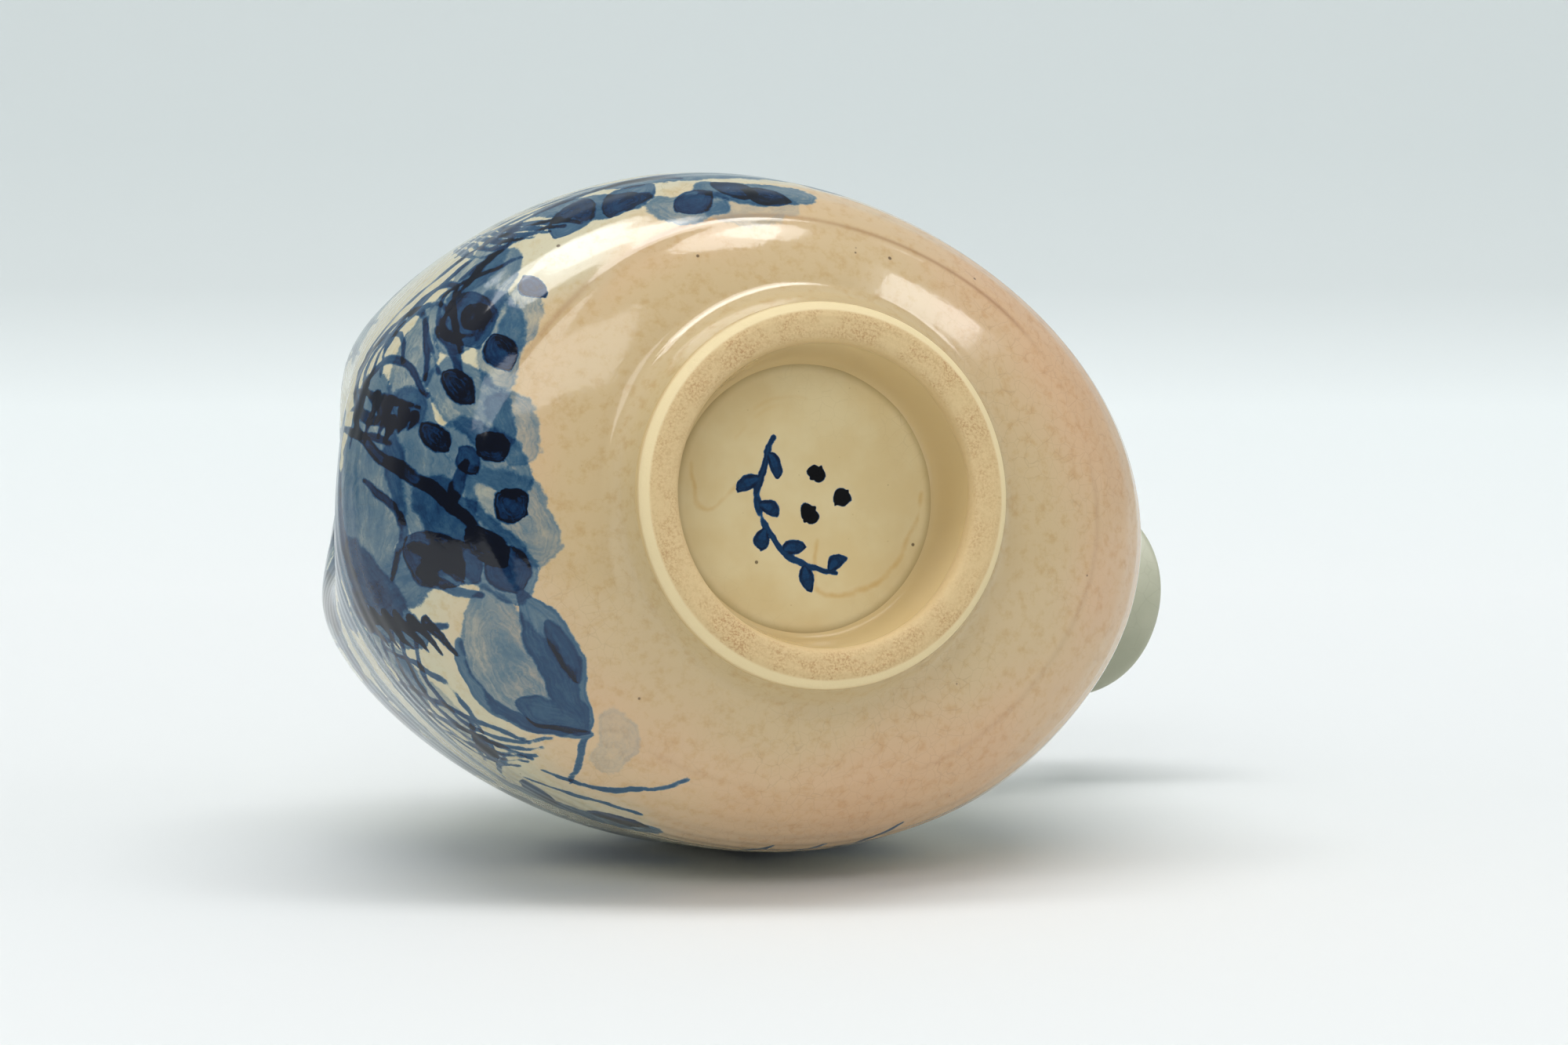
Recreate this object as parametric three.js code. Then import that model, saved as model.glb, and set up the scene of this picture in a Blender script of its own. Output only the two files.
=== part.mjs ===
// Sake bottle with a leaning neck, in millimetres, +Z up, standing on its foot ring.
// The body is an oval pot of fired clay whose blunt end has a thumb dent and whose
// other end carries a short neck that leans out to a flared, round mouth.
// Five thrown sections are modelled as they were joined: a bowl, a shoulder, a foot
// ring, a neck and a lip. A hairline gap stands for each luted joint.

import * as THREE from 'three';
import { mergeVertices } from 'three/addons/utils/BufferGeometryUtils.js';

// Where the foot's axis stands, so that the whole bottle is centred on the origin.
const FOOT_CENTRE_X = -11.84;
const FOOT_CENTRE_Y = -1.47;

// Clay thicknesses and the gap left at each joint.
const BODY_WALL = 3.4;
const NECK_WALL = 2.8;
const JOINT_GAP = 0.3;

// Foot ring: a turned ring that narrows a little towards the ground.
const FOOT_REST_OUTER = 23.9;
const FOOT_REST_INNER = 19.6;
const FOOT_TOP_OUTER = 24.9;
const FOOT_TOP_INNER = 17.4;
const FOOT_EDGE_ROUND = 0.8;
const RECESS_HEIGHT = 9.5;
const FLOOR_THICKNESS = 4.0;

// Control rings of the body, from the foot to the root of the neck. Each is an oval
// with a height, a shift towards the neck, half a length, half a width and a tilt.
const BODY_RINGS = [
  { height: 7.0, ahead: 0.0, long: 25.0, wide: 25.0, tilt: 0 },
  { height: 10.9, ahead: 0.0, long: 43.4, wide: 38.1, tilt: 0 },
  { height: 22.7, ahead: -1.2, long: 56.0, wide: 44.3, tilt: 0 },
  { height: 42.3, ahead: -2.0, long: 54.3, wide: 42.5, tilt: 1 },
  { height: 59.9, ahead: -1.0, long: 55.1, wide: 43.2, tilt: 6 },
  { height: 71.5, ahead: 4.5, long: 48.2, wide: 37.3, tilt: 13 },
  { height: 77.5, ahead: 18.0, long: 36.0, wide: 28.0, tilt: 24 },
  { height: 77.5, ahead: 32.5, long: 23.0, wide: 20.0, tilt: 37 },
  { height: 74.0, ahead: 43.0, long: 12.0, wide: 12.0, tilt: 46 },
  { height: 75.5, ahead: 48.5, long: 9.2, wide: 9.2, tilt: 52 },
];

// How the hand-shaped oval departs from a true one, strongest at the belly.
const OVAL_END = 0.9;
const OVAL_EGG = 0.03;
const OVAL_SQUARE = -0.04;
const OVAL_TWIST = THREE.MathUtils.degToRad(8);
const OVAL_SIDE_SHIFT = 2.0;
const OVAL_SKEW = -0.07;

// Thumb dent in the end away from the neck.
const DENT_DEPTH = 14.4;
const DENT_SIDE = 3.8;
const DENT_HEIGHT = 55.3;
const DENT_HALF_WIDTH = 11.0;
const DENT_HALF_HEIGHT = 15.0;
const DENT_REACH = 35.0;

// Neck and mouth. The neck starts on the last body ring.
const MOUTH_AHEAD = 69.6;
const MOUTH_HEIGHT = 90.0;
const MOUTH_TILT = 54;
const MOUTH_RADIUS = 14.9;
const NECK_WAIST = 8.6;
const LIP_DEPTH = 9.5;
const LIP_ROUND = 1.6;

// How far up the body the bowl meets the shoulder, from 0 at the foot to 1 at the neck.
const SEAM = 0.3;

// Facets.
const AROUND_BODY = 72;
const AROUND_NECK = 48;
const BOWL_ROWS = 12;
const SHOULDER_ROWS = 24;
const NECK_ROWS = 6;
const ARC_STEPS = 4;

const COLOURS = {
  bowlGlaze: 0xc2aa84,
  shoulderGlaze: 0xb9bcae,
  bareClay: 0xdcc498,
  neckGlaze: 0xb4b59f,
};

/** Value of a uniform cubic B-spline through evenly numbered values, 0 <= t <= 1. */
function spline(values, t) {
  const spans = values.length - 1;
  const place = Math.min(t * spans, spans - 1e-9);
  const span = Math.floor(place);
  const s = place - span;
  const at = (index) => {
    if (index < 0) return 2 * values[0] - values[1];
    if (index > spans) return 2 * values[spans] - values[spans - 1];
    return values[index];
  };
  const weights = [
    (1 - s) ** 3,
    3 * s ** 3 - 6 * s ** 2 + 4,
    -3 * s ** 3 + 3 * s ** 2 + 3 * s + 1,
    s ** 3,
  ];
  return weights.reduce((sum, weight, k) => sum + weight * at(span - 1 + k), 0) / 6;
}

/** Smoothed oval ring at level t of the body. */
function bodyRing(t) {
  const read = (key) => spline(BODY_RINGS.map((ring) => ring[key]), t);
  return {
    height: read('height'),
    ahead: read('ahead'),
    long: read('long'),
    wide: read('wide'),
    tilt: THREE.MathUtils.degToRad(read('tilt')),
  };
}

/** Point on the outside of the body at level t and angle around, from the foot's axis. */
function bodyPoint(t, angle) {
  const ring = bodyRing(t);
  const belly = Math.sin(Math.PI * Math.min(t / OVAL_END, 1));
  const c = Math.cos(angle);
  const s = Math.sin(angle);
  const egg = 1 - belly * (OVAL_EGG * c - OVAL_SQUARE * c * c);
  const oval = new THREE.Vector2(ring.long * c, ring.wide * s * egg);
  oval.rotateAround(new THREE.Vector2(), OVAL_TWIST * belly);
  oval.y += belly * (OVAL_SIDE_SHIFT + OVAL_SKEW * oval.x * c * c);
  const point = new THREE.Vector3(
    ring.ahead + oval.x * Math.cos(ring.tilt),
    oval.y,
    ring.height - oval.x * Math.sin(ring.tilt),
  );
  const across = (point.y - DENT_SIDE) / DENT_HALF_WIDTH;
  const along = (point.z - DENT_HEIGHT) / DENT_HALF_HEIGHT;
  const reach = THREE.MathUtils.smoothstep(-point.x, 0, DENT_REACH);
  point.x += DENT_DEPTH * reach * Math.exp(-(across ** 2) - along ** 2);
  return point;
}

/** Outward unit normal of the body, from small steps along and around it. */
function bodyNormal(t, angle) {
  const step = 1e-3;
  const low = Math.max(t - step, 0);
  const high = Math.min(t + step, 1);
  const up = bodyPoint(high, angle).sub(bodyPoint(low, angle));
  const around = bodyPoint(t, angle + step).sub(bodyPoint(t, angle - step));
  return around.cross(up).normalize();
}

/** Point on the inside of the body, one wall in from the outside, above the floor. */
function bodyInnerPoint(t, angle) {
  const wall = THREE.MathUtils.lerp(BODY_WALL, NECK_WALL, t);
  const point = bodyPoint(t, angle).addScaledVector(bodyNormal(t, angle), -wall);
  point.z = Math.max(point.z, RECESS_HEIGHT + FLOOR_THICKNESS);
  return point;
}

/** List of steps from first to last, both included. */
function steps(first, last, count) {
  return Array.from({ length: count + 1 }, (_, i) => first + ((last - first) * i) / count);
}

/** One closed ring of points, with the place of each given by its angle. */
function ringOf(count, pointAt) {
  return steps(0, 2 * Math.PI, count).slice(0, count).map(pointAt);
}

/** Flat level circle around the foot's axis. */
function levelCircle(radius, height, count) {
  const pointAt = (angle) =>
    new THREE.Vector3(radius * Math.cos(angle), radius * Math.sin(angle), height);
  return ringOf(count, pointAt);
}

/**
 * Closed solid from a run of rings with the same number of points. The run either
 * comes back to its first ring or ends in a centre point on each side.
 */
function solidFromRings(rings, centres = null) {
  const count = rings[0].length;
  const positions = rings.flat().flatMap((point) => point.toArray());
  const faces = [];
  const link = (lower, upper) => {
    for (let j = 0; j < count; j += 1) {
      const k = (j + 1) % count;
      const [a, b] = [lower * count + j, lower * count + k];
      const [c, d] = [upper * count + k, upper * count + j];
      faces.push(a, b, c, a, c, d);
    }
  };
  for (let i = 0; i + 1 < rings.length; i += 1) {
    link(i, i + 1);
  }
  if (centres === null) {
    link(rings.length - 1, 0);
  } else {
    const first = rings.length * count;
    const last = (rings.length - 1) * count;
    positions.push(...centres[0].toArray(), ...centres[1].toArray());
    for (let j = 0; j < count; j += 1) {
      const k = (j + 1) % count;
      faces.push(first, k, j);
      faces.push(last + j, last + k, first + 1);
    }
  }
  const geometry = new THREE.BufferGeometry();
  geometry.setAttribute('position', new THREE.Float32BufferAttribute(positions, 3));
  geometry.setIndex(faces);
  return geometry;
}

/** Solid of revolution about +Z from a closed profile that runs up its outside. */
function turned(profile, count) {
  const geometry = new THREE.LatheGeometry([...profile, profile[0]], count);
  geometry.rotateX(Math.PI / 2);
  geometry.deleteAttribute('normal');
  geometry.deleteAttribute('uv');
  return mergeVertices(geometry, 1e-4);
}

/** Points of an arc in a profile, angles in degrees. */
function arc(x, y, radius, from, to) {
  return steps(from, to, ARC_STEPS).map((degrees) => {
    const angle = THREE.MathUtils.degToRad(degrees);
    return new THREE.Vector2(x + radius * Math.cos(angle), y + radius * Math.sin(angle));
  });
}

/** Bowl: the lower half of the body, with the floor that the foot recess shows. */
function lowerBody() {
  const levels = steps(0, SEAM, BOWL_ROWS);
  const floorTop = RECESS_HEIGHT + FLOOR_THICKNESS;
  const underside = levelCircle(FOOT_TOP_INNER - JOINT_GAP, RECESS_HEIGHT, AROUND_BODY);
  const outside = levels.map((t) => ringOf(AROUND_BODY, (angle) => bodyPoint(t, angle)));
  const inside = levels
    .reverse()
    .map((t) => ringOf(AROUND_BODY, (angle) => bodyInnerPoint(t, angle)));
  const centres = [
    new THREE.Vector3(0, 0, RECESS_HEIGHT),
    new THREE.Vector3(0, 0, floorTop),
  ];
  return solidFromRings([underside, ...outside, ...inside], centres);
}

/** Shoulder: the upper half of the body, open where the neck stands. */
function upperBody() {
  const gap = 0.0035;
  const levels = steps(SEAM + gap, 1, SHOULDER_ROWS);
  const outside = levels.map((t) => ringOf(AROUND_BODY, (angle) => bodyPoint(t, angle)));
  const inside = levels
    .reverse()
    .map((t) => ringOf(AROUND_BODY, (angle) => bodyInnerPoint(t, angle)));
  return solidFromRings([...outside, ...inside]);
}

/** Foot ring, with a rounded resting edge. */
function footRing() {
  const round = FOOT_EDGE_ROUND;
  const bodyFoot = BODY_RINGS[0].height - JOINT_GAP;
  const profile = [
    ...arc(FOOT_REST_INNER + round, round, round, 180, 270),
    ...arc(FOOT_REST_OUTER - round, round, round, 270, 360),
    new THREE.Vector2(FOOT_TOP_OUTER, bodyFoot),
    new THREE.Vector2(FOOT_TOP_INNER, RECESS_HEIGHT - JOINT_GAP),
  ];
  return turned(profile, AROUND_BODY);
}

/** Place and tilt of the neck at s, from 0 at its root to 1 at the mouth. */
function neckStation(s) {
  const root = BODY_RINGS.at(-1);
  return {
    ahead: THREE.MathUtils.lerp(root.ahead, MOUTH_AHEAD, s),
    height: THREE.MathUtils.lerp(root.height, MOUTH_HEIGHT, s),
    tilt: THREE.MathUtils.degToRad(THREE.MathUtils.lerp(root.tilt, MOUTH_TILT, s)),
  };
}

/** Ring of the given radius square to the neck at s. */
function neckRing(s, radius) {
  const { ahead, height, tilt } = neckStation(s);
  return ringOf(AROUND_NECK, (angle) => {
    const out = radius * Math.cos(angle);
    return new THREE.Vector3(
      ahead + out * Math.cos(tilt),
      radius * Math.sin(angle),
      height - out * Math.sin(tilt),
    );
  });
}

/** Length of the neck from its root to the plane of the mouth. */
function neckLength() {
  const root = BODY_RINGS.at(-1);
  return Math.hypot(MOUTH_AHEAD - root.ahead, MOUTH_HEIGHT - root.height);
}

/** Outer radius of the neck at s, waisted between the body and the lip. */
function neckRadius(s) {
  const root = BODY_RINGS.at(-1).long;
  return NECK_WAIST + (root - NECK_WAIST) * Math.cos(Math.PI * s) ** 2;
}

/** Neck: a short leaning tube between the shoulder and the lip. */
function neck() {
  const top = 1 - LIP_DEPTH / neckLength();
  const gap = JOINT_GAP / neckLength();
  const stations = steps(gap, top - gap, NECK_ROWS);
  const outside = stations.map((s) => neckRing(s, neckRadius(s / top)));
  const inside = stations
    .reverse()
    .map((s) => neckRing(s, neckRadius(s / top) - NECK_WALL));
  return solidFromRings([...outside, ...inside]);
}

/** Lip: the flared round mouth at the end of the neck. */
function mouthRim() {
  const root = BODY_RINGS.at(-1).long;
  const edge = MOUTH_RADIUS - LIP_ROUND;
  const flare = new THREE.QuadraticBezierCurve(
    new THREE.Vector2(root, 0),
    new THREE.Vector2(root, LIP_DEPTH * 0.62),
    new THREE.Vector2(edge, LIP_DEPTH - LIP_ROUND),
  );
  const throat = new THREE.QuadraticBezierCurve(
    new THREE.Vector2(edge - LIP_ROUND * 0.4, LIP_DEPTH + LIP_ROUND * 0.6),
    new THREE.Vector2(root - NECK_WALL, LIP_DEPTH * 0.8),
    new THREE.Vector2(root - NECK_WALL, 0),
  );
  const profile = [
    ...flare.getPoints(ARC_STEPS + 1),
    ...arc(edge, LIP_DEPTH, LIP_ROUND, -60, 100),
    ...throat.getPoints(ARC_STEPS + 1),
  ];
  const { ahead, height, tilt } = neckStation(1 - LIP_DEPTH / neckLength());
  const geometry = turned(profile, AROUND_NECK);
  geometry.rotateY(tilt);
  geometry.translate(ahead, 0, height);
  return geometry;
}

const bottle = new THREE.Group();
bottle.name = 'sake_bottle';

/** Adds one finished section to the bottle, moved from the foot's axis to its place. */
function addPiece(name, geometry, color, roughness) {
  geometry.translate(FOOT_CENTRE_X, FOOT_CENTRE_Y, 0);
  geometry.computeVertexNormals();
  const material = new THREE.MeshStandardMaterial({ color, roughness, metalness: 0 });
  const mesh = new THREE.Mesh(geometry, material);
  mesh.name = name;
  bottle.add(mesh);
}

addPiece('foot_ring', footRing(), COLOURS.bareClay, 0.85);
addPiece('lower_body', lowerBody(), COLOURS.bowlGlaze, 0.18);
addPiece('upper_body', upperBody(), COLOURS.shoulderGlaze, 0.18);
addPiece('neck', neck(), COLOURS.neckGlaze, 0.35);
addPiece('mouth_rim', mouthRim(), COLOURS.neckGlaze, 0.35);

export default bottle;
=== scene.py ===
"""Looks of a leaning sake bottle: glazed clay, cobalt brush painting and a bare foot."""
import logging
from collections.abc import Callable
from dataclasses import dataclass, field
from enum import Enum

import bpy
import numpy as np
from mathutils import Matrix, Vector


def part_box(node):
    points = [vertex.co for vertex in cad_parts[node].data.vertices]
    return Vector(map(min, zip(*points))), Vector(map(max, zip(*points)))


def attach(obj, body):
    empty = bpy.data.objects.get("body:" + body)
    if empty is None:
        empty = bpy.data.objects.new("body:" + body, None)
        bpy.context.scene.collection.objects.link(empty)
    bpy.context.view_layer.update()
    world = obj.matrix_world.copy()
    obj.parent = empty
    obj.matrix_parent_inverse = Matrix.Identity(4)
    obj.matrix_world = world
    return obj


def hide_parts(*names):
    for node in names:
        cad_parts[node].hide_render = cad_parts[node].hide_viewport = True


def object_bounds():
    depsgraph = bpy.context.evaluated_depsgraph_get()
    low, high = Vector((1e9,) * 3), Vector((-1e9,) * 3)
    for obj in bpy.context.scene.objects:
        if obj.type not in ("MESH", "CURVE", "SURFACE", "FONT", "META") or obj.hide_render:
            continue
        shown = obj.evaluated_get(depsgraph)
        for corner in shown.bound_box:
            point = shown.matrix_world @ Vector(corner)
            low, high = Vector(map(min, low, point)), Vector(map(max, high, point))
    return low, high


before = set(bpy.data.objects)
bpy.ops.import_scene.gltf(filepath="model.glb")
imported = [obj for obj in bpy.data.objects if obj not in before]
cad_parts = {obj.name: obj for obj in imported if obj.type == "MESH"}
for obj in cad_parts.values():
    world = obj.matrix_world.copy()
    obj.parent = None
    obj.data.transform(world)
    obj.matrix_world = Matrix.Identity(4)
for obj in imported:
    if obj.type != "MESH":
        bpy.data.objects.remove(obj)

CAD_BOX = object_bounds()
LOG = logging.getLogger("sake_bottle")
MM = 0.001
SEED = 7
Surface = Callable[[np.ndarray, np.ndarray], np.ndarray]


# --------------------------------------------------------------------------- helpers


def linear(hex_code: str) -> tuple[float, float, float, float]:
    """Turns an sRGB hex colour into linear red, green, blue and alpha.

    Args:
        hex_code: Six hex digits after a hash.

    Returns:
        The linear colour with alpha 1.
    """
    srgb = np.array([int(hex_code[i : i + 2], 16) / 255 for i in (1, 3, 5)])
    low = srgb / 12.92
    high = ((srgb + 0.055) / 1.055) ** 2.4
    red, green, blue = np.where(srgb <= 0.04045, low, high)
    return float(red), float(green), float(blue), 1.0


def smooth(value: np.ndarray, low: float, high: float) -> np.ndarray:
    """Smooth step from 0 at low to 1 at high."""
    x = np.clip((value - low) / (high - low), 0.0, 1.0)
    return x * x * (3.0 - 2.0 * x)


def spline(control: np.ndarray, place: np.ndarray) -> np.ndarray:
    """Uniform cubic B-spline through rows of control values, exact at both ends.

    Args:
        control: One row per control point.
        place: Places from 0 at the first row to 1 at the last, of any shape.

    Returns:
        One row of values per place.
    """
    rows = np.vstack([2 * control[0] - control[1], control, 2 * control[-1] - control[-2]])
    spans = len(control) - 1
    at = np.clip(np.asarray(place) * spans, 0.0, spans - 1e-9)
    span = np.floor(at).astype(int)
    s = (at - span)[..., None]
    weights = (
        (1 - s) ** 3,
        3 * s**3 - 6 * s**2 + 4,
        -3 * s**3 + 3 * s**2 + 3 * s + 1,
        s**3,
    )
    return sum(w * rows[span + k] for k, w in enumerate(weights)) / 6.0


def ripple(points: np.ndarray, size: float, seed: int = SEED) -> np.ndarray:
    """Smooth random field: a sum of eight sine waves that run in random directions.

    Args:
        points: Points in millimetres, last axis x, y, z.
        size: Rough size of one ripple in millimetres.
        seed: Picks the directions and phases.

    Returns:
        Values of about -1 to 1, one per point.
    """
    rng = np.random.default_rng(seed)
    directions = rng.normal(size=(8, 3))
    directions *= 2 * np.pi / (size * np.linalg.norm(directions, axis=1, keepdims=True))
    directions *= rng.uniform(0.6, 1.5, size=(8, 1))
    phases = rng.uniform(0, 2 * np.pi, size=8)
    return np.sin(points @ directions.T + phases).sum(axis=-1) / 4.0


def foot_axis() -> np.ndarray:
    """Place of the foot's axis on the ground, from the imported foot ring.

    Returns:
        The middle of the ring's box in millimetres, at height zero.
    """
    low, high = (np.array(corner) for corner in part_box("foot_ring"))
    centre = (low + high) / 2 / MM
    return np.array([centre[0], centre[1], 0.0])


class Ends(Enum):
    """How a run of rings is closed into a solid."""

    LOOP = "the last ring joins the first"
    POLES = "each end closes on its own centre point"


def solid_of_rings(
    name: str,
    rings: np.ndarray,
    ends: Ends,
    paint: dict[str, np.ndarray] | None = None,
) -> bpy.types.Object:
    """Makes a closed mesh from rings of points, each ring joined to the next by quads.

    Args:
        name: Name of the piece.
        rings: Points in millimetres from the foot's axis, rings by points by 3, that run
            anticlockwise about the way from the first ring to the last.
        ends: How the run is closed.
        paint: One or three values for each point of each ring, by attribute name.

    Returns:
        The new object, in metres, linked to the scene.
    """
    count, around = rings.shape[:2]
    lower = np.arange(count if ends is Ends.LOOP else count - 1)[:, None]
    upper = (lower + 1) % count
    here = np.arange(around)[None, :]
    there = (here + 1) % around
    quads = np.stack(
        [lower * around + here, lower * around + there, upper * around + there, upper * around + here],
        axis=-1,
    ).reshape(-1, 4)
    points = rings.reshape(-1, 3)
    fans = np.empty((0, 3), dtype=int)
    if ends is Ends.POLES:
        first, last = count * around, (count - 1) * around
        points = np.vstack([points, rings[0].mean(axis=0), rings[-1].mean(axis=0)])
        start = np.stack([np.full(around, first), there[0], here[0]], axis=-1)
        finish = np.stack([last + here[0], last + there[0], np.full(around, first + 1)], axis=-1)
        fans = np.vstack([start, finish])
    points = (points + foot_axis()) * MM
    corners = np.concatenate([quads.ravel(), fans.ravel()]).astype(np.int32)
    sizes = np.concatenate([np.full(len(quads), 4), np.full(len(fans), 3)])
    starts = np.concatenate([[0], np.cumsum(sizes)[:-1]]).astype(np.int32)
    mesh = bpy.data.meshes.new(name)
    mesh.vertices.add(len(points))
    mesh.vertices.foreach_set("co", points.astype(np.float32).ravel())
    mesh.loops.add(len(corners))
    mesh.loops.foreach_set("vertex_index", corners)
    mesh.polygons.add(len(sizes))
    mesh.polygons.foreach_set("loop_start", starts)
    mesh.update(calc_edges=True)
    mesh.polygons.foreach_set("use_smooth", np.ones(len(sizes), dtype=bool))
    for label, values in (paint or {}).items():
        flat = values.reshape(count * around, -1)
        if ends is Ends.POLES:
            flat = np.vstack([flat, flat[:around].mean(axis=0), flat[-around:].mean(axis=0)])
        kind, key = ("FLOAT", "value") if flat.shape[1] == 1 else ("FLOAT_VECTOR", "vector")
        layer = mesh.attributes.new(label, kind, "POINT")
        layer.data.foreach_set(key, flat.astype(np.float32).ravel())
    piece = bpy.data.objects.new(name, mesh)
    bpy.context.scene.collection.objects.link(piece)
    return piece


SOFT = {"interpolation_type": "SMOOTHSTEP"}
COLOURS = {"data_type": "RGBA", "out": 2}


def sized(place: bpy.types.NodeSocket, size: float, **more: float) -> dict[str, object]:
    """Inputs of a texture whose pattern is about size millimetres long."""
    return {"Vector": place, "Scale": 1 / (size * MM)} | more


class Nodes:
    """Node tree of one finish, and the shader that it ends in."""

    def __init__(self, owner: bpy.types.ID, shader: str = "BSDF_PRINCIPLED") -> None:
        """Takes up a new material or world.

        Args:
            owner: The material or world.
            shader: Type of the shader node that it starts with.
        """
        owner.use_nodes = True
        self.tree = owner.node_tree
        self.shader = next(n for n in self.tree.nodes if n.type == shader)

    def add(
        self,
        kind: str,
        *values: object,
        out: int | str = 0,
        links: dict | None = None,
        stops: tuple[tuple[float, str], ...] = (),
        **settings: object,
    ) -> bpy.types.NodeSocket:
        """Adds a node with its settings and links.

        Args:
            kind: Node type without its ShaderNode prefix.
            *values: Output sockets or plain values for the first inputs, in order.
            out: Name or number of the output that is wanted.
            links: Output sockets or plain values for other inputs, by name or number.
            stops: Places and hex colours of a colour ramp.
            **settings: Properties of the node.

        Returns:
            The wanted output.
        """
        node = self.tree.nodes.new("ShaderNode" + kind)
        for key, value in settings.items():
            setattr(node, key, value)
        for key, value in (dict(enumerate(values)) | (links or {})).items():
            if isinstance(value, bpy.types.NodeSocket):
                self.tree.links.new(value, node.inputs[key])
            else:
                node.inputs[key].default_value = value
        elements = node.color_ramp.elements if stops else ()
        while len(elements) < len(stops):
            elements.new(0.5)
        for element, (position, colour) in zip(elements, stops):
            element.position = position
            element.color = linear(colour)
        return node.outputs[out]

    def link(self, value: bpy.types.NodeSocket, name: str) -> None:
        """Feeds a socket of the shader."""
        self.tree.links.new(value, self.shader.inputs[name])

    def relief(self, *layers: tuple[bpy.types.NodeSocket, float]) -> None:
        """Lays bumps over each other and feeds them to the shader.

        Args:
            *layers: Height and its depth in millimetres for each bump, coarsest first.
        """
        under: dict[str, bpy.types.NodeSocket] = {}
        for height, depth in layers:
            links = {"Height": height, "Distance": depth * MM, "Strength": 1.0} | under
            under = {"Normal": self.add("Bump", links=links)}
        self.link(under["Normal"], "Normal")

    def brush_tone(
        self, layer: str, place: bpy.types.NodeSocket, soft: float, rim: float, ragged: float = 0.2
    ) -> bpy.types.NodeSocket:
        """Pigment of one painted layer, with a wavering edge, hair streaks and a darker rim.

        The pigment is the load where the depth is above zero, times streaks that run
        along the stroke, plus what gathers near the edge.

        Args:
            layer: Attribute with depth inside the stroke in millimetres, load and progress.
            place: Object coordinates.
            soft: Width of the edge in millimetres.
            rim: How much more pigment gathers along the edge.
            ragged: How far the edge wavers, in millimetres.

        Returns:
            The pigment load.
        """
        stored = self.add("Attribute", out="Vector", attribute_name=layer)
        depth, load, progress = self.add("SeparateXYZ", stored).node.outputs
        wave = self.add("TexNoise", links=sized(place, 0.5 + 2.0 * ragged, Detail=4.0, Roughness=0.65))
        waver = self.add("Math", wave, 2.2 * ragged, -1.1 * ragged, operation="MULTIPLY_ADD")
        depth = self.add("Math", depth, waver, operation="ADD")
        cover = self.add("MapRange", depth, -soft, soft, **SOFT)
        gather = self.add("MapRange", depth, 0.1, 0.55, rim, 0.0, **SOFT)
        across = self.add("Math", depth, 2.6, operation="MULTIPLY")
        along = self.add("Math", progress, 5.0, operation="MULTIPLY")
        hairs = self.add("CombineXYZ", across, along, load)
        streak = self.add("TexNoise", links={"Vector": hairs, "Scale": 1.0, "Detail": 3.0})
        body = self.add("Math", streak, 0.9, 0.55, operation="MULTIPLY_ADD")
        body = self.add("Math", body, gather, operation="ADD")
        laid = self.add("Math", load, cover, operation="MULTIPLY")
        return self.add("Math", laid, body, operation="MULTIPLY")


# --------------------------------------------------------------------------- finishes


@dataclass(frozen=True)
class GlazeShine:
    """Fired glaze surface: glass-like gloss over a faintly uneven coat.

    The slow unevenness breaks reflections into soft streaks, and the crackle shows as
    faint brown cells in patches.

    Attributes:
        roughness: Base roughness of the gloss.
        ior: Refractive index of the glaze.
        crackle: Size of the crackle cells in millimetres.
        crackle_brown: Colour of the stained crackle lines.
        orange_peel: Depth of the coat's slow unevenness in millimetres.
        pinholes: Depth of its fine unevenness in millimetres.
    """

    roughness: float = 0.06
    ior: float = 1.5
    crackle: float = 1.7
    crackle_brown: str = "#7f6847"
    orange_peel: float = 0.05
    pinholes: float = 0.006

    def dress(self, nodes: Nodes, place: bpy.types.NodeSocket, colour: bpy.types.NodeSocket) -> None:
        """Adds crackle, pinholes and gloss, and joins them to the shader.

        Args:
            nodes: The material being built.
            place: Object coordinates.
            colour: Colour under the glaze.
        """
        warp = nodes.add("TexNoise", out="Color", links=sized(place, 3.0))
        warp = nodes.add("VectorMath", warp, (0.5, 0.5, 0.5), operation="SUBTRACT")
        bent = nodes.add("VectorMath", warp, (1.2 * MM,) * 3, place, operation="MULTIPLY_ADD")
        links = sized(bent, self.crackle)
        cells = nodes.add("TexVoronoi", links=links, out="Distance", feature="DISTANCE_TO_EDGE")
        line = nodes.add("MapRange", cells, 0.0, 0.035, 1.0, 0.0, **SOFT)
        patches = nodes.add("TexNoise", links=sized(place, 26.0))
        patches = nodes.add("MapRange", patches, 0.42, 0.66, 0.0, 0.14, **SOFT)
        crack = nodes.add("Math", line, patches, operation="MULTIPLY")
        links = {6: colour, 7: linear(self.crackle_brown)}
        nodes.link(nodes.add("Mix", crack, links=links, blend_type="MULTIPLY", **COLOURS), "Base Color")
        blotch = nodes.add("TexNoise", links=sized(place, 9.0, Detail=3.0))
        links = {"To Min": self.roughness - 0.02, "To Max": self.roughness + 0.07}
        nodes.link(nodes.add("MapRange", blotch, links=links), "Roughness")
        nodes.shader.inputs["IOR"].default_value = self.ior
        slow = nodes.add("TexNoise", links=sized(place, 11.0, Detail=1.0))
        fine = nodes.add("TexNoise", links=sized(place, 0.9))
        nodes.relief((slow, self.orange_peel), (fine, self.pinholes), (cells, 0.01))


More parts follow.
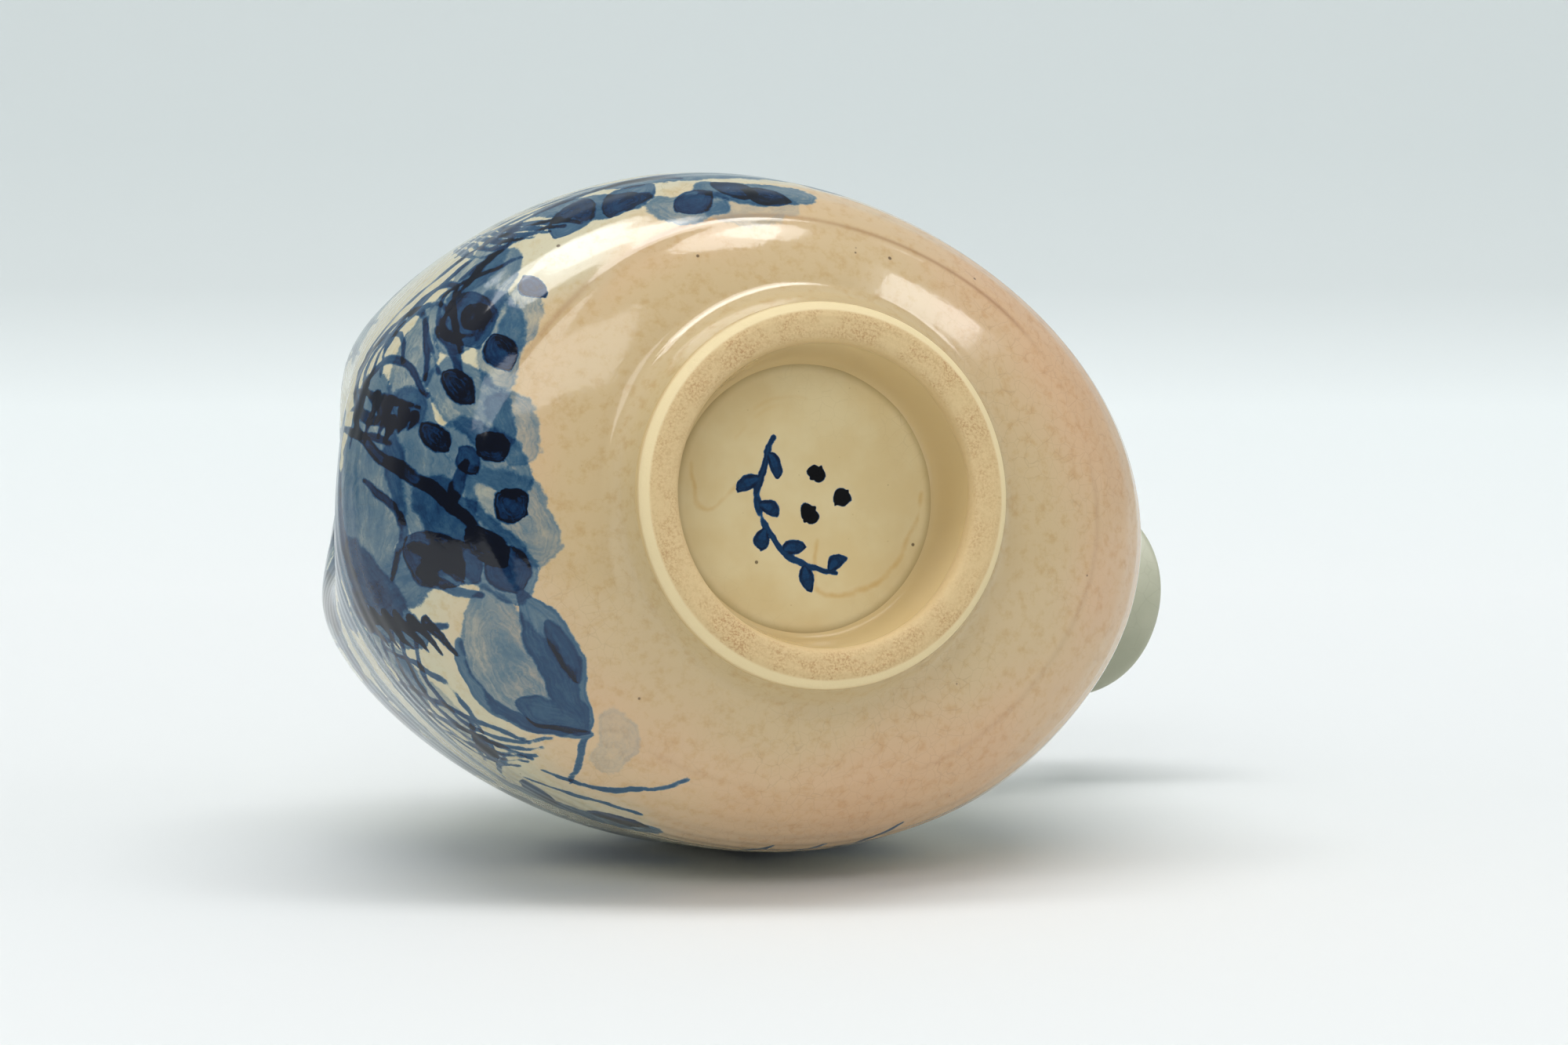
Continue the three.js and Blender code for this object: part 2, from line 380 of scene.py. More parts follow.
@dataclass(frozen=True)
class PaintedStoneware:
    """Clear glaze over warm stoneware with a pink blush, iron specks and cobalt painting.

    The clay shows olive beige by the foot, blushes pink and orange in soft clouds over the
    turn of the body, and pales to a grey cream ground where the brushwork is.
    """

    shine: GlazeShine = GlazeShine()
    foot_beige: str = "#c6b186"
    belly_beige: str = "#d1b590"
    blush: str = "#d4af8b"
    deep_blush: str = "#d0ab85"
    ground: str = "#cac3a6"
    top_ground: str = "#cecdb8"
    mottle: str = "#f4ebdc"
    edge_rust: str = "#b08a5c"
    iron: str = "#4a3422"
    fine_iron: str = "#a98a63"
    speck_spacing: float = 4.2
    fine_spacing: float = 1.3

    def material(self) -> bpy.types.Material:
        """Builds the finish: clay first, then specks, painting and gloss.

        Returns:
            The material.
        """
        material = bpy.data.materials.new("clear_glaze_on_blushed_stoneware")
        nodes = Nodes(material)
        place = nodes.add("TexCoord", out="Object")
        colour = self.specks(nodes, place, self.clay(nodes, place))
        self.shine.dress(nodes, place, self.cobalt(nodes, place, colour))
        return material

    def clay(self, nodes: Nodes, place: bpy.types.NodeSocket) -> bpy.types.NodeSocket:
        """Colours the clay in zones that fade into each other.

        Args:
            nodes: The material being built.
            place: Object coordinates.

        Returns:
            The clay's colour, with the rust line that thin glaze leaves on the turned edge.
        """
        height, zone, ground, edge = (
            nodes.add("Attribute", out="Fac", attribute_name=name)
            for name in ("height", "blush", "ground", "edge")
        )
        low = nodes.add("MapRange", height, 0.0, 0.35, **SOFT)
        links = {6: linear(self.foot_beige), 7: linear(self.belly_beige)}
        clay = nodes.add("Mix", low, links=links, **COLOURS)
        cloud = nodes.add("TexNoise", links=sized(place, 34.0, Roughness=0.55))
        small = nodes.add("TexNoise", links=sized(place, 7.0, Detail=4.0, Roughness=0.6))
        soft = nodes.add("Math", cloud, 0.93, operation="MULTIPLY")
        soft = nodes.add("Math", small, 0.07, soft, operation="MULTIPLY_ADD")
        soft = nodes.add("Math", zone, 0.3, soft, operation="MULTIPLY_ADD")
        blush = nodes.add("MapRange", soft, 0.5, 0.9, **SOFT)
        blush = nodes.add("Math", blush, zone, operation="MULTIPLY")
        clay = nodes.add("Mix", blush, links={6: clay, 7: linear(self.blush)}, **COLOURS)
        deep = nodes.add("MapRange", cloud, 0.5, 0.66, **SOFT)
        deep = nodes.add("Math", deep, blush, operation="MULTIPLY")
        clay = nodes.add("Mix", deep, links={6: clay, 7: linear(self.deep_blush)}, **COLOURS)
        high = nodes.add("MapRange", height, 0.6, 1.0, **SOFT)
        links = {6: linear(self.ground), 7: linear(self.top_ground)}
        pale = nodes.add("Mix", high, links=links, **COLOURS)
        clay = nodes.add("Mix", ground, links={6: clay, 7: pale}, **COLOURS)
        mottle = nodes.add("TexNoise", links=sized(place, 1.6, Detail=4.0, Roughness=0.65))
        mottle = nodes.add("MapRange", mottle, 0.45, 0.75, **SOFT)
        rust = nodes.add("Math", edge, 0.55, operation="MULTIPLY")
        for share, tint in ((mottle, self.mottle), (rust, self.edge_rust)):
            links = {6: clay, 7: linear(tint)}
            clay = nodes.add("Mix", share, links=links, blend_type="MULTIPLY", **COLOURS)
        return clay

    def specks(
        self, nodes: Nodes, place: bpy.types.NodeSocket, colour: bpy.types.NodeSocket
    ) -> bpy.types.NodeSocket:
        """Scatters iron specks of 0.2 to 0.5 mm, a few to the square centimetre.

        Args:
            nodes: The material being built.
            place: Object coordinates.
            colour: Colour below the specks.

        Returns:
            The speckled colour.
        """
        coarse = (self.speck_spacing, 0.05, self.iron, 0.8)
        fine = (self.fine_spacing, 0.06, self.fine_iron, 0.3)
        for spacing, radius, dark, strength in (coarse, fine):
            middle = nodes.add("TexVoronoi", links=sized(place, spacing), out="Distance")
            chosen = nodes.add("SeparateColor", middle.node.outputs["Color"])
            size = nodes.add("MapRange", chosen, 0.55, 1.0, 0.0, radius, **SOFT)
            beyond = nodes.add("Math", middle, size, operation="SUBTRACT")
            dot = nodes.add("MapRange", beyond, 0.0, 0.03, strength, 0.0, **SOFT)
            large = nodes.add("Math", size, 0.004, operation="GREATER_THAN")
            dot = nodes.add("Math", dot, large, operation="MULTIPLY")
            colour = nodes.add("Mix", dot, links={6: colour, 7: linear(dark)}, **COLOURS)
        return colour

    def cobalt(
        self, nodes: Nodes, place: bpy.types.NodeSocket, colour: bpy.types.NodeSocket
    ) -> bpy.types.NodeSocket:
        """Lays the cobalt pigment over the clay, from a grey-blue wash to blue-black.

        Args:
            nodes: The material being built.
            place: Object coordinates.
            colour: Colour of the clay.

        Returns:
            The painted colour.
        """
        wet: object = 0.0
        for layer in (Layer.WASH_LOW, Layer.WASH_MIDDLE, Layer.WASH_HIGH):
            tone = nodes.brush_tone(layer.value, place, 0.35, 0.25, 1.2)
            wet = nodes.add("Math", tone, wet, operation="ADD")
        pool = nodes.add("TexNoise", links=sized(place, 3.2, Detail=4.0, Roughness=0.65))
        pool = nodes.add("MapRange", pool, links={"To Min": 0.45, "To Max": 1.5})
        wet = nodes.add("Math", wet, pool, operation="MULTIPLY")
        load = nodes.add("Math", wet, 0.85, operation="MULTIPLY")
        for layer in (Layer.LEAF_LOW, Layer.LEAF_HIGH):
            tone = nodes.brush_tone(layer.value, place, 0.2, 0.3, 0.3)
            load = nodes.add("Math", tone, 0.86, load, operation="MULTIPLY_ADD")
        for layer in (Layer.LINE_LOW, Layer.LINE_HIGH, Layer.DASH):
            tone = nodes.brush_tone(layer.value, place, 0.16, 0.1)
            load = nodes.add("Math", tone, 0.9, load, operation="MULTIPLY_ADD")
        thin = ((0.0, "#8c9c98"), (0.22, "#6a7e86"), (0.42, "#3a5c74"))
        thick = ((0.62, "#1b4060"), (0.82, "#08284a"), (1.0, "#020818"))
        blue = nodes.add("ValToRGB", load, stops=thin + thick)
        cover = nodes.add("MapRange", load, 0.0, 0.3, **SOFT)
        return nodes.add("Mix", cover, links={6: colour, 7: blue}, **COLOURS)


@dataclass(frozen=True)
class BareClay:
    """Turned, unglazed stoneware: dry cream clay with rust-brown wear on its resting edge, a thin glaze on
    its inside and outside walls, and a painted highlight: a lighter cream band round the rounding of its
    outer edge."""

    clay: str = "#d6bb8a"
    grog: str = "#d0b584"
    worn: str = "#a5713c"
    glazed: str = "#cfb684"
    # lip: lighter cream of the outer edge's rounding, a painted highlight
    lip: str = "#e6d2a4"
    grog_size: float = 0.45
    grog_depth: float = 0.07
    dry_roughness: float = 0.78
    glazed_roughness: float = 0.12

    def material(self) -> bpy.types.Material:
        """Builds the finish.

        Returns:
            The material.
        """
        material = bpy.data.materials.new("turned_bare_stoneware")
        nodes = Nodes(material)
        place = nodes.add("TexCoord", out="Object")
        coat, rub, lip = (
            nodes.add("Attribute", out="Fac", attribute_name=name) for name in ("glaze", "rub", "lip")
        )
        grog = nodes.add("TexNoise", links=sized(place, self.grog_size, Detail=4.0, Roughness=0.7))
        grains = nodes.add("MapRange", grog, 0.35, 0.75, **SOFT)
        clay = nodes.add("Mix", grains, links={6: linear(self.clay), 7: linear(self.grog)}, **COLOURS)
        scuff = nodes.add("TexNoise", links=sized(place, 0.28, Detail=3.0, Roughness=0.7))
        scuff = nodes.add("MapRange", scuff, 0.40, 0.66, **SOFT)
        patch = nodes.add("TexNoise", links=sized(place, 5.0, Detail=4.0, Roughness=0.7))
        patch = nodes.add("MapRange", patch, 0.34, 0.64, 0.0, 0.75, **SOFT)
        stain = nodes.add("Math", scuff, patch, operation="MULTIPLY")
        stain = nodes.add("Math", stain, rub, operation="MULTIPLY")
        # the lip share lays the painted highlight on the outer edge's rounding
        for share, tint in ((stain, self.worn), (lip, self.lip), (coat, self.glazed)):
            clay = nodes.add("Mix", share, links={6: clay, 7: linear(tint)}, **COLOURS)
        nodes.link(clay, "Base Color")
        links = {"To Min": self.dry_roughness, "To Max": self.glazed_roughness}
        nodes.link(nodes.add("MapRange", coat, links=links), "Roughness")
        dry = nodes.add("Math", 1.0, coat, operation="SUBTRACT")
        dry = nodes.add("Math", dry, grog, operation="MULTIPLY")
        nodes.relief((dry, self.grog_depth))
        return material


@dataclass(frozen=True)
class RecessGlaze:
    """Pooled clear glaze in the foot recess: smooth cream, darkened towards the wall as painted shade of
    the recess corner, with honey-coloured tide lines and a brush drawing under the gloss."""

    shine: GlazeShine = GlazeShine(roughness=0.16, orange_peel=0.03)
    cream: str = "#dac594"
    pale_cream: str = "#e0cfa2"
    # edge: darker colour of the floor by the wall, a painted shade
    edge: str = "#a38a58"
    tide: str = "#c99a4e"
    blue_ink: str = "#061a36"
    black_ink: str = "#040508"

    def material(self) -> bpy.types.Material:
        """Builds the finish.

        Returns:
            The material.
        """
        material = bpy.data.materials.new("pooled_glaze_with_brush_drawing")
        nodes = Nodes(material)
        place = nodes.add("TexCoord", out="Object")
        cloud = nodes.add("TexNoise", links=sized(place, 8.0, Detail=3.0, Roughness=0.6))
        cloud = nodes.add("MapRange", cloud, 0.35, 0.7, **SOFT)
        links = {6: linear(self.cream), 7: linear(self.pale_cream)}
        base = nodes.add("Mix", cloud, links=links, **COLOURS)
        rim = nodes.add("Attribute", out="Fac", attribute_name="rim")
        tide = nodes.add("Math", nodes.brush_tone("tide", place, 0.35, 0.0), 0.55, operation="MULTIPLY")
        # painted shade: the rim mask darkens the floor towards the wall with the edge colour; the tide
        # lines are the glaze's own
        for share, tint in ((rim, self.edge), (tide, self.tide)):
            base = nodes.add("Mix", share, links={6: base, 7: linear(tint)}, **COLOURS)
        base = PaintedStoneware(speck_spacing=3.4).specks(nodes, place, base)
        for layer, ink in (("branch", self.blue_ink), ("berries", self.black_ink)):
            load = nodes.brush_tone(layer, place, 0.12, 0.25)
            stops = ((0.0, "#5d7f98"), (0.45, "#174a78"), (0.9, ink), (1.0, ink))
            colour = nodes.add("ValToRGB", load, stops=stops)
            cover = nodes.add("MapRange", load, 0.0, 0.35, **SOFT)
            base = nodes.add("Mix", cover, links={6: base, 7: colour}, **COLOURS)
        self.shine.dress(nodes, place, base)
        return material


@dataclass(frozen=True)
class NeckGlaze:
    """Grey-green satin glaze, thicker and less clear than on the body, so that it hides
    the clay except on the rim, where it thins to cream."""

    shine: GlazeShine = GlazeShine(roughness=0.36, ior=1.45, crackle=2.8)
    grey_green: str = "#bcbda8"
    deep_green: str = "#aeb09a"
    thin_cream: str = "#c9b891"

    def material(self) -> bpy.types.Material:
        """Builds the finish.

        Returns:
            The material.
        """
        material = bpy.data.materials.new("grey_green_satin_glaze")
        nodes = Nodes(material)
        place = nodes.add("TexCoord", out="Object")
        cloud = nodes.add("TexNoise", links=sized(place, 12.0, Detail=3.0, Roughness=0.6))
        cloud = nodes.add("MapRange", cloud, 0.3, 0.7, **SOFT)
        links = {6: linear(self.grey_green), 7: linear(self.deep_green)}
        base = nodes.add("Mix", cloud, links=links, **COLOURS)
        base = PaintedStoneware(speck_spacing=3.8).specks(nodes, place, base)
        rim = nodes.add("Attribute", out="Fac", attribute_name="rim")
        base = nodes.add("Mix", rim, links={6: base, 7: linear(self.thin_cream)}, **COLOURS)
        self.shine.dress(nodes, place, base)
        return material


# --------------------------------------------------------------------------- brushwork


class Brush(Enum):
    """How the brush was used."""

    WASH = "watery, even width, soft edge"
    LEAF = "pressed down in the middle, pointed ends"
    LINE = "thin, steady"
    DAB = "blunt start, pointed end"


class Layer(Enum):
    """Painted layers of the body, from the first wash to the last blue-black touches."""

    WASH_LOW = "wash_low"
    WASH_MIDDLE = "wash_middle"
    WASH_HIGH = "wash_high"
    LEAF_LOW = "leaf_low"
    LEAF_HIGH = "leaf_high"
    LINE_LOW = "line_low"
    LINE_HIGH = "line_high"
    DASH = "dash"


@dataclass(frozen=True)
class Stroke:
    """One touch of the brush.

    Attributes:
        brush: How the brush was used.
        path: Points that the stroke bends towards, in the surface's own two measures.
        width: Widest place in millimetres.
        load: Strength of the pigment, 0 to 1 and over.
    """

    brush: Brush
    path: tuple[tuple[float, float], ...]
    width: float
    load: float

    def track(self, surface: Surface) -> np.ndarray:
        """Middle line of the stroke on the surface, as a B-spline through its path.

        Args:
            surface: Gives points on the clay from two arrays of the surface's measures.

        Returns:
            Points in millimetres.
        """
        steps = np.linspace(0.0, 1.0, 9 * (len(self.path) - 1) + 1)
        flat = spline(np.array(self.path, dtype=float), steps)
        return surface(flat[:, 0], flat[:, 1])

    def breadth(self, along: np.ndarray) -> np.ndarray:
        """Half width at each place along the stroke.

        Args:
            along: Places from 0 to 1.

        Returns:
            Half widths in millimetres: half a sine wave, or a steady fall for a dab.
        """
        swell = np.sin(np.pi * np.clip(along, 0.0, 1.0))
        shape = {
            Brush.WASH: 0.75 + 0.25 * swell,
            Brush.LEAF: 0.12 + 0.88 * swell**0.65,
            Brush.LINE: 0.55 + 0.45 * swell,
            Brush.DAB: 1.0 - 0.75 * along**1.5,
        }[self.brush]
        return 0.5 * self.width * shape

    def reach_into(self, points: np.ndarray, surface: Surface) -> tuple[np.ndarray, np.ndarray]:
        """How deep each point lies inside the stroke, and how far along it.

        The depth is the half width at the nearest place of the middle line, less the
        distance to that line.

        Args:
            points: Points on the clay in millimetres.
            surface: Gives points on the clay from the surface's two measures.

        Returns:
            Depth in millimetres, negative outside, and progress from 0 to 1.
        """
        line = self.track(surface)
        start, step = line[:-1], np.diff(line, axis=0)
        length = np.maximum((step**2).sum(axis=1), 1e-9)
        t = np.clip(((points[:, None] - start) * step).sum(axis=2) / length, 0.0, 1.0)
        gap = np.linalg.norm(points[:, None] - (start + t[..., None] * step), axis=2)
        nearest = gap.argmin(axis=1)
        rows = np.arange(len(points))
        along = (nearest + t[rows, nearest]) / len(step)
        return self.breadth(along) - gap[rows, nearest], along


def painted(points: np.ndarray, strokes: list[Stroke], surface: Surface) -> np.ndarray:
    """One layer of paint: for each point the stroke that it lies deepest in.

    The points are first shifted by two slow random fields, so that edges waver as if
    drawn by hand.

    Args:
        points: Points in millimetres, last axis x, y, z.
        strokes: The strokes of the layer.
        surface: Gives points on the clay from the surface's two measures.

    Returns:
        Depth in millimetres from -2 up, load and progress, last axis.
    """
    flat = points.reshape(-1, 3)
    wander = np.stack([ripple(flat, 6.0, SEED + k) for k in range(3)], axis=1)
    quiver = np.stack([ripple(flat, 2.2, SEED + 3 + k) for k in range(3)], axis=1)
    shaken = flat + 0.30 * wander + 0.10 * quiver
    best = np.zeros((len(flat), 3))
    best[:, 0] = -2.0
    for stroke in strokes:
        line = stroke.track(surface)
        reach = 0.5 * stroke.width + 2.5
        low, high = line.min(axis=0) - reach, line.max(axis=0) + reach
        near = np.flatnonzero(((flat > low) & (flat < high)).all(axis=1))
        if not len(near):
            continue
        depth, along = stroke.reach_into(shaken[near], surface)
        deeper = depth > best[near, 0]
        chosen = near[deeper]
        best[chosen, 0] = depth[deeper]
        best[chosen, 1] = stroke.load
        best[chosen, 2] = along[deeper]
    return best.reshape(points.shape[:-1] + (3,))


@dataclass
class BrushPainting:
    """Blue broad-leaved plants behind a low fence, painted round the body's blunt end.

    Points are given as level up the body, 0 at the foot and 1 at the neck, and degrees
    around it, 0 below the mouth and 180 at the dent.
    """

    seed: int = SEED
    layers: dict[Layer, list[Stroke]] = field(default_factory=lambda: {layer: [] for layer in Layer})

    def add(
        self, layer: Layer, brush: Brush, width: float, load: float, *path: tuple[float, float]
    ) -> None:
        """Adds one stroke through the given points to a layer."""
        self.layers[layer].append(Stroke(brush, path, width, load))

    def washes(self) -> None:
        """Watery ground behind the leaves and up the dent."""
        low, middle, high = Layer.WASH_LOW, Layer.WASH_MIDDLE, Layer.WASH_HIGH
        wash = Brush.WASH
        self.add(low, wash, 8.5, 0.34, (0.18, 213), (0.17, 206), (0.165, 199))
        self.add(middle, wash, 6.5, 0.26, (0.15, 206), (0.125, 200), (0.112, 195))
        self.add(high, wash, 5.0, 0.22, (0.135, 211), (0.12, 205), (0.118, 201))
        self.add(low, wash, 8.0, 0.34, (0.15, 191), (0.12, 187), (0.10, 184))
        self.add(middle, wash, 6.0, 0.24, (0.10, 188), (0.08, 186), (0.075, 181))
        self.add(high, wash, 7.0, 0.34, (0.125, 181), (0.095, 178), (0.08, 174))
        self.add(low, wash, 8.0, 0.26, (0.10, 171), (0.07, 168), (0.066, 160))
        self.add(middle, wash, 8.5, 0.36, (0.14, 168), (0.105, 159), (0.09, 153))
        self.add(high, wash, 9.0, 0.38, (0.175, 184), (0.15, 172), (0.145, 162))
        self.add(low, wash, 8.0, 0.46, (0.25, 148), (0.20, 152), (0.16, 156))
        self.add(high, wash, 7.0, 0.30, (0.26, 142), (0.24, 138), (0.26, 132))
        self.add(middle, wash, 6.0, 0.50, (0.22, 227), (0.18, 230), (0.165, 236))
        self.add(low, wash, 5.5, 0.30, (0.145, 239), (0.125, 241), (0.13, 247))
        self.add(middle, wash, 5.5, 0.40, (0.16, 248), (0.14, 254), (0.15, 262))
        self.add(low, wash, 5.0, 0.42, (0.21, 238), (0.20, 249), (0.21, 262))
        self.add(high, wash, 5.5, 0.15, (0.118, 247), (0.112, 253), (0.12, 259))
        self.add(middle, wash, 6.0, 0.42, (0.23, 95), (0.27, 103), (0.31, 110))
        self.add(low, wash, 5.5, 0.13, (0.098, 118), (0.11, 113), (0.135, 112))
        self.add(low, wash, 9.0, 0.36, (0.225, 186), (0.20, 176), (0.19, 166), (0.215, 156))
        self.add(middle, wash, 7.0, 0.30, (0.20, 200), (0.19, 192), (0.175, 184))
        self.add(high, wash, 7.0, 0.45, (0.235, 158), (0.215, 150), (0.20, 144))
        self.add(middle, wash, 6.0, 0.26, (0.22, 220), (0.20, 213), (0.195, 205))
        self.add(low, wash, 5.0, 0.20, (0.24, 137), (0.22, 129), (0.24, 121))
        self.add(high, wash, 6.0, 0.30, (0.12, 172), (0.125, 164), (0.15, 156))
        turns = (low, middle, high)
        for k in range(8):
            level = 0.225 + 0.042 * k
            ends = (181 - 1.2 * (k % 3), 163.0, 146 + 1.5 * (k % 2))
            path = tuple((level + 0.012 * np.sin(2.0 * k + j), around) for j, around in enumerate(ends))
            self.add(turns[k % 3], wash, 7.5, 0.46 + 0.08 * (k % 2), *path)
        for k in range(5):
            level = 0.28 + 0.05 * k
            self.add(
                turns[k % 3], wash, 5.0, 0.34,
                (level, 146.0), (level + 0.01, 130.0), (level + 0.03, 112.0 + 2 * k),
            )

    def leaves(self) -> None:
        """Round and pointed leaves, darkest where the loaded brush touched first."""
        leaf, low, high = Brush.LEAF, Layer.LEAF_LOW, Layer.LEAF_HIGH
        self.add(low, leaf, 7.5, 0.42, (0.19, 206), (0.162, 202), (0.14, 198))
        self.add(high, leaf, 4.0, 0.40, (0.17, 205), (0.16, 203), (0.145, 201))
        self.add(high, leaf, 3.0, 0.75, (0.15, 213), (0.134, 212), (0.118, 211))
        self.add(high, leaf, 4.4, 0.70, (0.135, 201), (0.12, 198.5), (0.105, 195.5))
        self.add(high, leaf, 3.8, 0.78, (0.156, 191.5), (0.138, 190), (0.122, 188))
        self.add(high, leaf, 3.4, 0.72, (0.16, 182), (0.144, 180), (0.132, 178))
        self.add(high, leaf, 4.0, 0.74, (0.11, 181.5), (0.096, 180), (0.086, 177.5))
        self.add(low, leaf, 3.2, 0.50, (0.122, 178.5), (0.114, 177), (0.108, 174))
        self.add(high, leaf, 4.4, 0.78, (0.092, 170.5), (0.078, 168), (0.068, 167))
        self.add(low, leaf, 7.5, 0.52, (0.17, 161), (0.146, 157), (0.13, 153))
        self.add(high, leaf, 4.6, 0.48, (0.14, 160), (0.125, 157), (0.115, 153))
        self.add(high, leaf, 4.4, 0.85, (0.115, 163), (0.102, 160), (0.092, 156))
        self.add(low, leaf, 5.5, 0.55, (0.105, 158), (0.09, 155), (0.085, 150))
        self.add(high, leaf, 5.5, 0.50, (0.205, 231), (0.18, 228), (0.165, 222))
        self.add(low, leaf, 5.5, 0.50, (0.19, 241), (0.176, 236), (0.155, 231))
        self.add(high, leaf, 4.6, 0.60, (0.15, 247.5), (0.138, 244), (0.128, 240.5))
        self.add(high, leaf, 4.4, 0.58, (0.17, 249), (0.15, 252), (0.142, 255))
        self.add(low, leaf, 4.2, 0.62, (0.15, 253), (0.136, 256.5), (0.132, 260))
        self.add(high, leaf, 3.0, 0.62, (0.21, 263), (0.2, 267), (0.195, 271))
        self.add(high, leaf, 4.6, 0.70, (0.25, 112), (0.265, 108), (0.29, 104.5))
        self.add(high, leaf, 4.0, 0.80, (0.24, 103), (0.228, 99), (0.22, 95.5))
        self.add(low, leaf, 3.6, 0.55, (0.25, 117), (0.235, 121), (0.215, 123))

    def broad_leaf(self) -> None:
        """One large leaf with a pale middle, a dark side and a trailing stem."""
        self.add(
            Layer.WASH_HIGH, Brush.LEAF, 12.0, 0.30,
            (0.115, 151), (0.13, 137), (0.125, 126), (0.12, 120),
        )
        self.add(
            Layer.LEAF_LOW, Brush.LEAF, 6.0, 0.42,
            (0.088, 150), (0.084, 140), (0.092, 130), (0.12, 119),
        )
        self.add(Layer.LEAF_HIGH, Brush.LEAF, 2.8, 0.36, (0.080, 143), (0.079, 136), (0.088, 128))
        self.add(Layer.LEAF_LOW, Brush.LEAF, 4.6, 0.38, (0.15, 128), (0.13, 125), (0.12, 118.5))
        self.add(
            Layer.LINE_LOW, Brush.LINE, 2.2, 0.42,
            (0.155, 142), (0.178, 134), (0.17, 126), (0.145, 121), (0.122, 118),
        )
        self.add(
            Layer.LINE_LOW, Brush.LINE, 1.0, 0.50,
            (0.122, 118), (0.14, 116), (0.165, 113), (0.195, 110),
        )
        self.add(
            Layer.LINE_HIGH, Brush.LINE, 1.1, 0.52,
            (0.20, 114), (0.184, 108), (0.15, 103), (0.114, 100),
        )
        self.add(
            Layer.LINE_LOW, Brush.LINE, 1.0, 0.50,
            (0.24, 113), (0.215, 108), (0.2, 104), (0.19, 99),
        )

    def stems(self) -> None:
        """Stems that join the leaves."""
        line, low, high = Brush.LINE, Layer.LINE_LOW, Layer.LINE_HIGH
        self.add(
            low, line, 1.9, 0.66,
            (0.24, 182), (0.196, 174.5), (0.156, 173), (0.13, 168), (0.112, 165), (0.10, 160),
        )
        self.add(high, line, 1.2, 0.60, (0.21, 171), (0.175, 167), (0.168, 161), (0.195, 154))
        self.add(high, line, 1.8, 0.50, (0.13, 168), (0.12, 172), (0.115, 176))
        self.add(high, line, 1.6, 0.55, (0.185, 199), (0.16, 197), (0.14, 192))
        self.add(low, line, 1.5, 0.50, (0.165, 155), (0.145, 152), (0.12, 150))

    def fence(self) -> None:
        """Short crossing bars of a woven fence, blue-black where they overlap."""
        for k, level in enumerate((0.235, 0.215, 0.198, 0.182, 0.168)):
            layer = Layer.DASH if k in (1, 3) else Layer.LINE_LOW
            self.add(
                layer, Brush.DAB, 1.4, 0.72,
                (level, 187 - k), (level - 0.003, 182), (level, 176.5 + k),
            )
        for k, around in enumerate((185.5, 182, 178.5)):
            self.add(
                Layer.LINE_HIGH, Brush.LINE, 1.1, 0.62,
                (0.26, around + 1.0), (0.2, around), (0.165 + 0.006 * k, around - 1.0),
            )
        for level, around in ((0.205, 183), (0.19, 180), (0.178, 181.5)):
            self.add(
                Layer.DASH, Brush.DAB, 1.9, 0.8,
                (level, around + 1.6), (level - 0.004, around), (level, around - 2.0),
            )
        for k, level in enumerate((0.245, 0.228, 0.212, 0.197, 0.182, 0.168)):
            top = 148.0 - 0.4 * k
            self.add(
                Layer.DASH, Brush.DAB, 1.5, 1.05,
                (level + 0.008, top), (level, top - 3.0), (level - 0.004, top - 6.5),
            )
        self.add(Layer.LINE_HIGH, Brush.LINE, 1.3, 0.6, (0.27, 147), (0.21, 145.5), (0.16, 145))

    def grasses(self) -> None:
        """Long thin arcs that cross above and below the fence."""
        line, low, high = Brush.LINE, Layer.LINE_LOW, Layer.LINE_HIGH
        self.add(
            high, line, 1.3, 0.62,
            (0.17, 190), (0.19, 198), (0.225, 203), (0.255, 199), (0.27, 190), (0.24, 182), (0.2, 181),
        )
        self.add(
            low, line, 1.2, 0.62,
            (0.15, 196), (0.18, 202), (0.205, 209), (0.235, 205), (0.245, 196), (0.235, 187),
        )
        self.add(
            high, line, 1.2, 0.58,
            (0.16, 187), (0.19, 192), (0.23, 193), (0.245, 186), (0.225, 179),
        )
        self.add(low, line, 1.2, 0.60, (0.185, 224), (0.2, 216), (0.195, 208), (0.185, 200))
        self.add(
            low, line, 1.1, 0.56,
            (0.19, 222), (0.22, 214), (0.222, 206), (0.235, 199), (0.26, 193), (0.25, 188), (0.21, 184),
        )
        self.add(
            high, line, 1.1, 0.56,
            (0.188, 226), (0.225, 218), (0.24, 209), (0.265, 200), (0.275, 192), (0.25, 186),
        )
        self.add(
            high, line, 1.0, 0.50,
            (0.17, 216), (0.2, 208), (0.218, 202), (0.188, 197), (0.158, 191),
        )
        self.add(low, line, 1.0, 0.46, (0.2, 213), (0.212, 205), (0.19, 200), (0.165, 198), (0.14, 200))
        self.add(
            high, line, 1.1, 0.56,
            (0.22, 189), (0.238, 194), (0.236, 200), (0.21, 204), (0.18, 202),
        )
        self.add(
            low, line, 1.1, 0.54,
            (0.25, 185), (0.275, 190), (0.262, 196), (0.225, 198), (0.2, 192),
        )
        for k in range(6):
            layer = (low, high)[k % 2]
            start, lift = 227 - 2.2 * k, 0.012 * k
            self.add(
                layer, line, 1.1, 0.56,
                (0.165 + 0.5 * lift, start), (0.205, start - 4.0), (0.25 + lift, start - 7.0 + 1.5 * k),
            )
        for k in range(4):
            layer = (low, high)[k % 2]
            self.add(
                layer, line, 1.1, 0.5,
                (0.235 + 0.02 * k, 212 + k), (0.225 + 0.015 * k, 222),
                (0.215, 232 + 3 * k), (0.215 - 0.008 * k, 246),
            )
        for k in range(5):
            layer = (low, high)[k % 2]
            lift = 0.016 * k
            self.add(
                layer, line, 1.1, 0.52,
                (0.195 + lift, 144), (0.225 + lift, 134), (0.225 + lift, 126),
                (0.2 + lift, 121.5 - k), (0.155 + lift, 119.5 - k),
            )
        self.add(high, line, 1.1, 0.55, (0.25, 141), (0.205, 137), (0.19, 130), (0.215, 123))
